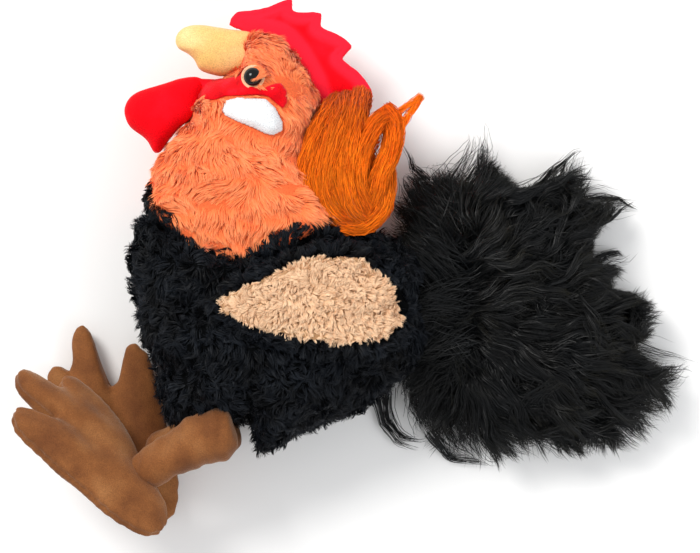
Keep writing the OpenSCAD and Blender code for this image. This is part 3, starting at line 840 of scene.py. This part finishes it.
def puff(piece, thickness, edge, pinch):
    """Turns a flat-sided slab into a padded sheet: thin at its edge, full at thickness, with a stitched pinch
    at pinch = (distance from the edge, half width, depth), all in mm. Gives each vertex's distance from the
    edge."""
    normals = vertex_normals(piece.data)
    points = working_points(piece)
    wall = points[np.abs(normals[:, 2]) < 0.4]
    rim = nearest(points * [1, 1, 0], wall * [1, 1, 0])
    inward = np.linalg.norm((points - wall[rim])[:, :2], axis=1)
    full = np.abs(points[:, 2] - MID).max()
    height = thickness * (0.35 + 0.65 * np.sqrt(smoothstep(inward, -edge * 0.15, edge)))
    offset, width, depth = pinch
    height -= depth * np.exp(-((inward - offset) / width) ** 2)
    height += 0.35 * waves(points * [1, 1, 0], 16.0, 8)[:, 0] * smoothstep(inward, 1, 5)
    points[:, 2] = MID + (points[:, 2] - MID) / full * height
    set_working_points(piece, points)
    return inward


HEAD_MIDDLE = np.array([-46.0, 90.0, MID])
COMB_THICKNESS = 4.6
COMB_STITCHING = (3.4, 0.8, 1.7)
COMB_TUCK = 8.0                          # how far its inner edge reaches into the head, in mm


def make_comb(material, head):
    """A padded sheet with topstitching round its edge, tucked into the head's seam."""
    nodes = ["comb_panel_left", "comb_panel_right", "comb_padding"]
    piece = skin("comb", nodes, 1.0, 1)
    inward = puff(piece, COMB_THICKNESS, 9.0, COMB_STITCHING)
    smooth_mesh(piece.data, 1)
    # Painted highlight: a paler pink along the comb's edge, full within 2 mm of it and gone by 6 mm.
    set_point_values(piece.data, "rim", 0.55 * (1 - smoothstep(inward, 2.0, 6.0)))
    points = working_points(piece)
    towards = unit((HEAD_MIDDLE - points) * [1, 1, 0])
    skull = working_points(head)
    skull = skull[np.abs(skull[:, 2] - MID) < 8]
    gap = np.linalg.norm((points - skull[nearest(points, skull)])[:, :2], axis=1)
    points += towards * (COMB_TUCK * (1 - smoothstep(gap, 3, 9)))[:, None]
    set_working_points(piece, points)
    return finish_skin(piece, material, "head", nodes)


BROW_LEVEL = 6.3                         # how far over the head's skin it hangs, in mm


def make_brow(fur, head, name, side):
    """The pile that hangs over the eye from above and behind."""
    rng = np.random.default_rng(61 + side)
    count = int(BROW_STRANDS * max(FUR_SHARE, 0.5))
    angle = rng.uniform(math.radians(5), math.radians(110), count)
    radius = rng.uniform(4.9, 9.5, count)
    roots = EYE + np.stack([np.cos(angle) * radius, np.sin(angle) * radius], 1)
    level = levels_on(head, roots, side)
    level[np.isnan(level)] = MID
    reach = rng.uniform(0.65, 1.0, count)[:, None]
    inward = unit(EYE + [-0.5, -2.5] - roots) * 7.0 * reach
    base = with_level(roots, level[:, None])
    middle = base + with_level(inward * 0.4, side * (BROW_LEVEL - 0.1))
    tip = base + with_level(inward, side * (BROW_LEVEL + 0.1))
    tip[:, :2] += rng.normal(size=(count, 2)) * 0.5
    paths = spline(np.stack([base, middle, tip], 1), 6)
    fur_pieces(f"brow_{name}", paths, 0.25, fur, on("head"), 62,
               facing=(0.0, 0.0, float(side)))


def make_eyes(gloss, felt):
    """The CAD eyes, their felt rims and the lock washers behind them, which stay flat."""
    for side, _ in SIDES:
        for node, material in (("eye", gloss), ("eye_rim", felt), ("eye_washer", felt)):
            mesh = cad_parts[f"{node}_{side}"].data
            mesh.materials.clear()
            mesh.materials.append(material)
            if node != "eye_washer":
                shade_smooth(mesh)


# ---------------------------------------------------------------- mane

def spline(points, count):
    """Evenly timed points on a smooth open curve through the given ones; works on many curves at once."""
    points = np.asarray(points, float)
    padded = np.concatenate([2 * points[..., :1, :] - points[..., 1:2, :], points,
                             2 * points[..., -1:, :] - points[..., -2:-1, :]], axis=-2)
    spans = points.shape[-2] - 1
    t = np.linspace(0, spans, count)
    i = np.minimum(t.astype(int), spans - 1)
    f = (t - i)[:, None]
    a, b, c, d = (padded[..., i + k, :] for k in range(4))
    return 0.5 * (2 * b + (c - a) * f + (2 * a - 5 * b + 4 * c - d) * f ** 2
                  + (3 * b - a - 3 * c + d) * f ** 3)


# Each hank of yarn: its half width and half thickness in mm, how many fibres it has, and its centre line.
# From left to right, the main hank in four, the side loop's two limbs, its fold and the lower edge.
HANKS = [
    (6.0, 6.0, 1500, [(0, 93, 44), (-7, 82, 62), (-15, 64, 73), (-19, 48, 75), (-15, 35, 74), (-6, 27, 69),
                      (3, 24, 62)]),
    (6.5, 6.0, 1600, [(5, 94, 44), (1, 82, 66), (-5, 62, 77), (-8, 46, 79), (-3, 31, 76), (7, 24, 68)]),
    (6.0, 6.0, 1500, [(12, 95, 50), (9, 82, 68), (5, 62, 76), (3, 46, 79), (7, 31, 76), (15, 24, 66)]),
    (4.4, 4.8, 1100, [(27, 84, 68), (19, 77, 72), (12, 63, 75), (10, 47, 77), (14, 33, 73), (19, 26, 64)]),
    (4.8, 5.0, 1200, [(24, 86, 68), (30, 78, 69), (28, 63, 71), (22, 50, 73), (19, 38, 72), (14, 27, 66)]),
    (6.0, 4.0, 1000, [(12, 62, 66), (17, 52, 68), (20, 42, 69), (19, 30, 66), (10, 24, 62)]),
    (5.5, 5.5, 1100, [(-14, 31, 66), (0, 24, 71), (12, 23, 71), (22, 30, 71), (25, 42, 68), (25, 56, 66)]),
    (3.5, 1.5, 60, [(14, 58, 62), (19, 68, 64), (22, 77, 66), (27, 84, 66)]),
    (3.0, 1.5, 50, [(20, 36, 62), (23, 46, 64), (26, 58, 64)]),
    # The loose wisps at its upper right.
    (0.8, 0.8, 60, [(28, 82, 66), (37, 89, 63), (45, 94, 61)]),
    (0.8, 0.8, 60, [(30, 70, 66), (36, 81, 63), (45, 95, 61)]),
]
YARN_STEPS = 16
YARN_DRIFT = 1.1                         # how far a fibre strays from its hank's line, in mm
YARN_FRIZZ = 0.45


def hank(half_width, half_thickness, count, points, rng):
    """The fibres of one hank, and how near the outside each one is, as a painted shade: 1 inside, near 0 at
    its surface, where the gaps between hanks are darkened; it is partly random.
    """
    centre = spline(points, YARN_STEPS)
    tangent = unit(np.gradient(centre, axis=0))
    across = unit(np.cross(tangent, np.array([0, 0, 1.0])))
    up = np.cross(across, tangent)
    angle = rng.uniform(0, 2 * math.pi, count)
    radius = np.sqrt(rng.random(count))
    u = (np.cos(angle) * radius * half_width)[:, None, None]
    v = (np.sin(angle) * radius * half_thickness)[:, None, None]
    paths = centre[None] + u * across[None] + v * up[None]
    drift = waves((paths + rng.normal(size=(count, 1, 3)) * 6).reshape(-1, 3), 20.0, 77).reshape(paths.shape)
    frizz = waves((paths + rng.normal(size=(count, 1, 3)) * 3).reshape(-1, 3), 7.0, 78).reshape(paths.shape)
    # Painted shade: fibres near the hank's surface get low values and so come out darker, with some random
    # tone.
    depth = 1 - 0.9 * radius ** 3 + 0.25 * rng.normal(size=count)
    return paths + drift * YARN_DRIFT + frizz * YARN_FRIZZ, np.clip(depth, 0, 1)


def make_mane(material):
    rng = np.random.default_rng(14)
    share = max(FUR_SHARE, 0.5)
    groups = [hank(width, thickness, int(count * share), points, rng)
              for width, thickness, count, points in HANKS]
    paths = np.concatenate([g[0] for g in groups])
    # Each fibre's depth is its painted shade: the material darkens fibres near a hank's surface, as shade
    # between the hanks.
    depth = np.concatenate([g[1] for g in groups])
    pieces = fur_pieces("mane_yarn", paths, 0.17, material, on("mane"), 34, depth, tip_share=0.8)
    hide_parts("mane_hank", "mane_loop")


# ---------------------------------------------------------------- wings

# The tan patch on a wing, as its fur reaches: x and y in mm.
PATCH = [(-66.5, -21), (-56, -15), (-45, -8), (-39, -6), (-27.5, -1), (-15, 4), (-1.5, 4.4), (10, 4),
         (18, -1.5), (27, -7.5), (34, -14.5), (37.3, -23), (34, -31), (27, -38), (13, -40), (1, -41.5),
         (-11, -39), (-27.5, -37), (-42, -33), (-51, -32), (-58, -27)]


WING_MIDDLE = np.array([-12.0, -18.0, MID])
WING_BORDER_MIDDLE = np.array([-10.0, -18.0, MID])


def plan_outward(points, middle):
    """The way in plan from a middle to each point."""
    return unit((points - middle) * [1, 1, 0])


def make_wing(side, up, black_skin, black_fur, tan_skin, tan_fur):
    """A black padded wing with a tan patch on its outer side, which looks up (1) or down (-1)."""
    body = f"wing_{side}"
    share = FUR_SHARE * (1.0 if up > 0 else HIDDEN_WING_SHARE)
    pad_nodes = [f"{body}_fur", f"{body}_backing"]
    pad = skin(f"{body}_pad", pad_nodes, 2.2, 5)
    finish_skin(pad, black_skin, body, pad_nodes)
    cover = skin(f"{body}_patch_pad", [f"{body}_patch"], 1.3, 4)
    points = working_points(cover)
    hidden_side = vertex_normals(cover.data)[:, 2] * up < 0
    points[:, 2] += up * np.where(hidden_side, 2.6, 0.5)
    set_working_points(cover, points)
    finish_skin(cover, tan_skin, body, [f"{body}_patch"])
    rng = np.random.default_rng(15 if up > 0 else 16)

    def outer(normals):
        return np.where(normals[:, 2] * up > 0.1, 1.0, 0.25)

    roots, normals = scatter(cover.data, int(TAN_STRANDS * share), rng, outer)
    keep = (normals[:, 2] * up > 0.0) & inside(roots, PATCH)
    roots, normals = roots[keep], normals[keep]
    flow = np.array([0.2, -0.6, 0.0]) + 0.9 * waves(roots, 24.0, 9) + 0.5 * plan_outward(roots, WING_MIDDLE)
    length = TAN_PILE * (0.6 + 0.6 * rng.random(len(roots)))
    paths = grow(roots, normals, flow, length, 0.9, 3, rng, clump_size=1.9, clump=0.55, curl=0.45,
                 curl_size=4.0, tousle=0.5, seed=25)
    fur_pieces(f"{body}_tan_pile", paths, 0.21, tan_fur, on(body), 35, facing=normals)

    roots, normals = scatter(pad.data, int(WING_STRANDS * share), rng, outer)
    keep = ~(inside(roots, PATCH) & (normals[:, 2] * up > 0.2))
    roots, normals = roots[keep], normals[keep]
    flow = plan_outward(roots, WING_BORDER_MIDDLE) + 0.9 * waves(roots, 30.0, 10)
    length = WING_PILE * (0.7 + 0.5 * rng.random(len(roots)))
    paths = grow(roots, normals, flow, length, rng=rng, clump=0.4, curl=0.5, tousle=0.5, seed=26,
                 **BLACK_PLUSH)
    fur_pieces(f"{body}_black_pile", paths, 0.24, black_fur, on(body), 36, facing=normals)


# ---------------------------------------------------------------- legs and feet

# From each ankle into its foot, in mm: the leg's end is sewn to the foot there.
LEG_REACH = {"left": np.array([-7.0, -9.5, -10.0]), "right": np.array([-2.0, -2.0, -9.0])}
WRINKLES = {"left": 41, "right": 42}     # seeds
HIP_X = -69.0
ANKLE_X = -97.5


def make_leg(side, material):
    """A wrinkled sleeve that ends inside its foot."""
    nodes = [f"leg_{side}_sleeve", f"leg_{side}_stuffing"]
    piece = skin(f"leg_{side}", nodes, 2.2, 3)
    points = working_points(piece)
    share = smoothstep((HIP_X - points[:, 0]) / (HIP_X - ANKLE_X), 0.1, 1.4)
    points += share[:, None] * LEG_REACH[side]
    set_working_points(piece, points)
    wrinkle = waves(points * [1.6, 0.5, 0.5], 16.0, WRINKLES[side])[:, 0]
    move_along_normals(piece, 0.9 * wrinkle + 0.8 * (1 - share))
    finish_skin(piece, material, None, nodes, subdivide=True)
    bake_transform(piece)


# Each foot's origin in mm, its turn and roll in degrees, and 1 or -1 where it is mirrored, as in part.scad.
FEET = {"left": (np.array([-134.1, -105.0, 60.0]), 144.0, 52.0, 1),
        "right": (np.array([-127.0, -96.0, 11.5]), 96.0, 0.0, -1)}
PUCKERS = 46                             # stitch puckers per radian round a foot's seam


def foot_frame(points, side):
    """Points in a foot's own frame: x to the toes, y to its outer side, z out of its top."""
    origin, turn, roll, mirror = FEET[side]
    a, b = math.radians(turn), math.radians(roll)
    x_axis = np.array([math.cos(a), math.sin(a), 0])
    y_flat = np.array([-math.sin(a), math.cos(a), 0]) * mirror
    y_axis = y_flat * math.cos(b) + np.array([0, 0, math.sin(b)])
    z_axis = np.array([0, 0, math.cos(b)]) - y_flat * math.sin(b)
    moved = points - origin
    return np.stack([moved @ x_axis, moved @ y_axis, moved @ z_axis], 1)


def make_foot(side, material):
    """A stuffed foot with a sunken seam, puckers along it and soft folds."""
    nodes = [f"foot_{side}_top", f"foot_{side}_sole", f"foot_{side}_stuffing"]
    piece = skin(f"foot_{side}", nodes, 2.0, 5)
    own = foot_frame(working_points(piece), side)
    seam = np.exp(-(own[:, 2] / 1.3) ** 2)
    around = np.arctan2(own[:, 1], own[:, 0])
    pucker = np.sin(around * PUCKERS) * np.exp(-(own[:, 2] / 4.5) ** 2)
    folds = waves(own * [1.0, 1.8, 0.4], 34.0, 51)[:, 0]
    move_along_normals(piece, -1.5 * seam + 0.5 * pucker + 0.8 * folds)
    finish_skin(piece, material, f"foot_{side}", nodes, subdivide=True)
    return piece


# ---------------------------------------------------------------- tail

TAIL_ROOT = np.array([34.0, -22.0, 24.0])
TAIL_PILE = 40.0
TAIL_FLOOR = 0.8                         # the lowest that its long strands lie, in mm
LOCK_STEPS = 9
# How far the tail's fur reaches in plan, with its spikes, in mm; the side towards the body is open.
TAIL_REACH = [
    (0, 36), (33, 42), (45, 51), (51, 55), (66.5, 52), (71.6, 45.6), (77, 50), (80.7, 80.3), (85, 62),
    (91, 52), (100.6, 43.9), (113.7, 46), (126, 58), (138.2, 66), (144, 58), (142.2, 45.6), (137.1, 38.5),
    (153.6, 36.5), (172.3, 34.8), (158, 27), (147.3, 22), (142.2, 12), (141, 2.4), (152, 0), (165.5, 6.4),
    (156, -7), (153, -13), (173.5, -15.8), (180.3, -27.8), (176, -40), (164, -46), (182, -57), (201.6, -56),
    (190, -75), (184.3, -86), (176, -96), (169.5, -103), (150, -106), (125.1, -107.5), (100, -110),
    (79.6, -112.6), (62, -110.6), (51.1, -106), (46, -96), (40, -86), (34, -74), (20, -66), (0, -60)]
# Locks that reach out: root, points on the way, tip, and how many strands.
LOCKS = [
    ([(52, 18, 24), (68, 44, 22), (79, 62, 14), (81, 80, 8)], 110),
    ([(78, 12, 28), (108, 32, 20), (128, 46, 10), (139, 66, 5)], 150),
    ([(84, 8, 28), (116, 26, 20), (146, 35, 9), (172, 35, 4)], 150),
    ([(90, -8, 28), (126, -2, 18), (148, -2, 8), (166, 6, 4)], 110),
    ([(92, -28, 28), (136, -38, 14), (172, -50, 6), (202, -56, 3)], 130),
    ([(90, -42, 26), (126, -66, 12), (158, -80, 5), (185, -84, 3)], 180),
    ([(84, -48, 24), (112, -78, 12), (142, -96, 4), (169, -103, 3)], 180),
    ([(90, -20, 28), (130, -20, 16), (160, -22, 8), (180, -28, 3)], 160),
    ([(66, -54, 20), (78, -84, 8), (90, -102, 4), (100, -110, 3)], 160),
    ([(58, -50, 18), (60, -84, 6), (68, -100, 3), (80, -112, 3)], 160),
]
# Fur at the tail's base that lies over its join with the body.
BASE_LOCKS = [
    ([(66, 0, 28), (54, 16, 34), (42, 28, 32), (30, 36, 28)], 900),
    ([(68, 10, 26), (56, 28, 28), (46, 42, 26), (38, 50, 22)], 900),
    ([(62, -10, 32), (50, 2, 42), (38, 12, 44), (28, 20, 40)], 800),
    ([(66, -22, 36), (54, -22, 46), (44, -24, 50), (36, -28, 50)], 700),
    ([(64, -34, 34), (52, -42, 42), (42, -48, 42), (32, -52, 38)], 700),
    ([(62, -42, 30), (50, -56, 28), (42, -66, 20), (38, -74, 10)], 800),
    ([(60, -50, 24), (52, -70, 18), (50, -84, 10), (54, -96, 5)], 700),
    ([(70, 20, 24), (62, 36, 24), (58, 46, 20), (56, 54, 14)], 700),
]
# Thin stray locks.
STRAYS = [
    ([(50, 48, 22), (42, 56, 16), (38, 64, 12), (36, 73, 8)], 26),
    ([(26, -72, 8), (28, -88, 5), (40, -100, 4), (52, -98, 4)], 40),
    ([(20, -74, 6), (26, -92, 4), (36, -102, 3), (47, -104, 3)], 26),
    ([(52, -96, 8), (62, -108, 4), (76, -113, 3), (90, -111, 3)], 40),
    ([(100, 30, 16), (118, 50, 12), (132, 62, 8), (140, 67, 6)], 60),
    ([(128, 34, 12), (146, 38, 8), (160, 38, 5), (173, 33, 4)], 60),
    ([(140, 0, 8), (152, 6, 6), (160, 8, 4), (167, 4, 3)], 40),
    ([(150, -70, 6), (168, -74, 5), (184, -68, 3), (199, -62, 3)], 60),
    ([(140, -44, 8), (160, -40, 6), (176, -34, 5), (188, -34, 3)], 60),
]


def within_reach(paths, rng):
    """Each strand drawn back so that it ends at the tail's outline, give or take a little."""
    count, rings, _ = paths.shape
    inner = inside(paths.reshape(-1, 3), TAIL_REACH).reshape(count, rings)
    leaves = np.where(inner.all(1), rings - 1, np.maximum(inner.argmin(1), 1))
    reach = leaves / (rings - 1) * np.where(leaves < rings - 1, rng.uniform(0.6, 1.06, count), 1.0)
    return resampled(paths, np.clip(np.linspace(0, 1, rings)[None] * reach[:, None], 0, 1) * (rings - 1))


def tail_locks(locks, spread, rng):
    """Strands along each lock, spread round its line in mm; they draw together towards its tip."""
    groups = []
    for points, count in locks:
        count = int(count * max(FUR_SHARE, 0.4))
        start = np.array(points, float)
        narrow = np.linspace(1, 0.28, len(points))[None, :, None]
        jitter = rng.normal(size=(count, 1, 3)) * spread
        loose = rng.normal(size=(count, len(points), 3)) * spread * 0.3
        paths = spline(start[None] + jitter * narrow + loose * narrow, LOCK_STEPS + 1)
        ends = 1 - 0.55 * rng.random(count) ** 0.8
        t = np.linspace(0, 1, LOCK_STEPS + 1)
        paths = resampled(paths, t[None] * ends[:, None] * LOCK_STEPS)
        paths += waves(paths.reshape(-1, 3), 14.0, 61).reshape(paths.shape) * 1.2 * t[None, :, None]
        groups.append(paths)
    paths = np.concatenate(groups)
    paths[:, :, 2] = np.maximum(paths[:, :, 2], TAIL_FLOOR)
    return paths


def make_tail(material, fur):
    """A soft core under long fur that ends in locks."""
    nodes = ["tail_fur_left", "tail_fur_right", "tail_backing"]
    piece = skin("tail_skin", nodes, 4.0, 160)
    away = smoothstep(working_points(piece)[:, 0], 50, 90)
    move_along_normals(piece, -3.0 - 2.0 * away)
    finish_skin(piece, material, "tail", nodes)
    rng = np.random.default_rng(17)
    roots, normals = scatter(piece.data, int(TAIL_STRANDS * FUR_SHARE), rng, side_weight)
    flow = unit(roots - TAIL_ROOT) * [1, 1, 0.2] + 0.55 * waves(roots, 44.0, 12)
    length = TAIL_PILE * (0.5 + 0.8 * rng.random(len(roots)))
    paths = grow(roots, normals, flow, length, 0.36, 8, rng, clump_size=6.0, clump=0.42, curl=0.4,
                 curl_size=22.0, tousle=0.32, seed=27)
    sag = 6 * np.linspace(0, 1, paths.shape[1])[None] ** 2
    paths[:, :, 2] = np.maximum(paths[:, :, 2] - sag, TAIL_FLOOR)
    fur_pieces("tail_fur", within_reach(paths, rng), 0.2, fur, on("tail"), 37, facing=normals)
    locks = np.concatenate([tail_locks(LOCKS, np.array([8.0, 8.0, 4.0]), rng),
                            tail_locks(BASE_LOCKS, np.array([8.0, 8.0, 6.0]), rng),
                            tail_locks(STRAYS, np.array([1.6, 1.6, 1.0]), rng)])
    fur_pieces("tail_locks", locks, 0.2, fur, on("tail"), 38)


# ---------------------------------------------------------------- everything

def make_materials():
    """Every material by its name. Colours run from a strand's root to its tip, or from dark to light."""
    made = [
        # Its patch colour is a painted blue-grey sheen on clusters of strands.
        fur_material("black_fur", [(0.0, "#020203"), (0.6, "#050608"), (1.0, "#12151a")], "#262c35",
                     rough=0.5, sheen=0.04, sheen_tint=(0.75, 0.82, 1, 1), specular=0.12),
        fur_material("orange_fur", [(0.0, "#f4703c"), (0.45, "#fc8850"), (1.0, "#ffa672")], "#f06a36",
                     rough=0.9, sheen=0.35, spread=0.07, patch_scale=75.0, drift=0.3),
        fur_material("tan_fur", [(0.0, "#cda078"), (0.4, "#ecc29a"), (1.0, "#f8dab8")], "#eec6a0",
                     rough=0.9, sheen=0.25, spread=0.08),
        # The tail's olive-brown tips are painted light, where light shines through them; its patch colour is a
        # painted bluish sheen.
        fur_material("tail_fur", [(0.0, "#020202"), (0.75, "#060708"), (0.93, "#14130e"), (1.0, "#3c3826")],
                     "#0c1014", rough=0.42, sheen=0.02, sheen_tint=(0.8, 0.95, 1, 1), specular=0.2),
        fur_material("mane_yarn", [(0.0, "#dc5808"), (0.5, "#ff8010"), (1.0, "#e06a0c")], "#ee5c06",
                     patch_scale=90.0, rough=0.75, sheen=0.2, spread=0.42),
        fur_material("red_fibre", [(0.0, "#ee0014"), (1.0, "#ff1c30")], "#fb0a20", rough=0.9, sheen=0.1,
                     spread=0.1),
        fur_material("brown_fibre", [(0.0, "#7c4a26"), (1.0, "#a47244")], "#6f4220", rough=0.9, spread=0.12),
        velour_material("black_knit", "#020203", "#040506", "#08090b", 0.0, specular=0.05),
        velour_material("orange_knit", "#e4602f", "#ee6c3a", "#f67c48", 0.2),
        # Darker than the tan pile: painted shade, the shade that shows in the gaps between its clumps.
        velour_material("tan_knit", "#a67f58", "#b88d66", "#c69a72", 0.2),
        # Its rim colour is a painted highlight along the comb's edge.
        velour_material("red_velour", "#e80012", "#fa0216", "#ff0c22", 0.12, sheen_tint=(1, 0.4, 0.45, 1),
                        rim="#f02c46", specular=0.1),
        velour_material("face_velour", "#c00010", "#e80416", "#f61c32", 0.2, sheen_tint=(1, 0.5, 0.55, 1),
                        drift_scale=90.0, specular=0.1),
        velour_material("yellow_velour", "#e4b868", "#eec67c", "#f6d696", 0.15),
        velour_material("white_plush", "#e2e5e8", "#eceef0", "#f4f5f6", 0.1),
        velour_material("brown_velour", "#6c3e1e", "#86522a", "#9c683c", 0.3, sheen_tint=(1, 0.85, 0.7, 1)),
        velour_material("eye_felt", "#e8ac83", "#f3bf98", "#f8cfae", 0.2),
        gloss_material("eye_gloss", "#0b0b0c", 0.12),
    ]
    # The frame has materials of some of these names, and Blender then numbers the new ones.
    return {material.name.split(".")[0]: material for material in made}


def make_head_trim(look, head):
    """Everything that is sewn on the head."""
    make_padded_part("beak", ["beak_panel_left", "beak_panel_right", "beak_stuffing"], 1.4, 2,
                     look["yellow_velour"], "head", tuck=(-56, 4.5))
    wattle = make_padded_part("wattle", ["wattle_panel_left", "wattle_panel_right", "wattle_stuffing"], 1.6,
                              3, look["red_velour"], "head", tuck=(-84, 4.0))
    comb = make_comb(look["red_velour"], head)
    for side, way in SIDES:
        drape(f"face_band_{side}_velour", BAND, head, way, 1.8, 2.5, look["face_velour"],
              [f"face_band_{side}"])
        drape(f"ear_{side}", EAR, head, way, 4.5, 5.0, look["white_plush"],
              [f"ear_patch_{side}"])
        make_brow(look["orange_fur"], head, side, way)
    fuzz("comb_fuzz", comb, 9000, 1.5, look["red_fibre"], "head", 51)
    fuzz("wattle_fuzz", wattle, 6000, 1.5, look["red_fibre"], "head", 52)
    make_eyes(look["eye_gloss"], look["eye_felt"])


def build():
    make_camera()
    make_floor()
    make_light()
    look = make_materials()
    make_body(look["black_knit"], look["black_fur"])
    head = make_head(look["orange_knit"], look["orange_fur"], look["black_fur"])
    make_head_trim(look, head)
    on_neck(head)
    make_mane(look["mane_yarn"])
    for side, way in SIDES:
        make_wing(side, way, look["black_knit"], look["black_fur"], look["tan_knit"], look["tan_fur"])
    for side, _ in SIDES:
        make_leg(side, look["brown_velour"])
        foot = make_foot(side, look["brown_velour"])
        fuzz(f"foot_{side}_fuzz", foot, 16000, 1.3, look["brown_fibre"], f"foot_{side}", 53)
    make_tail(look["black_knit"], look["tail_fur"])


build()
bpy.context.view_layer.update()
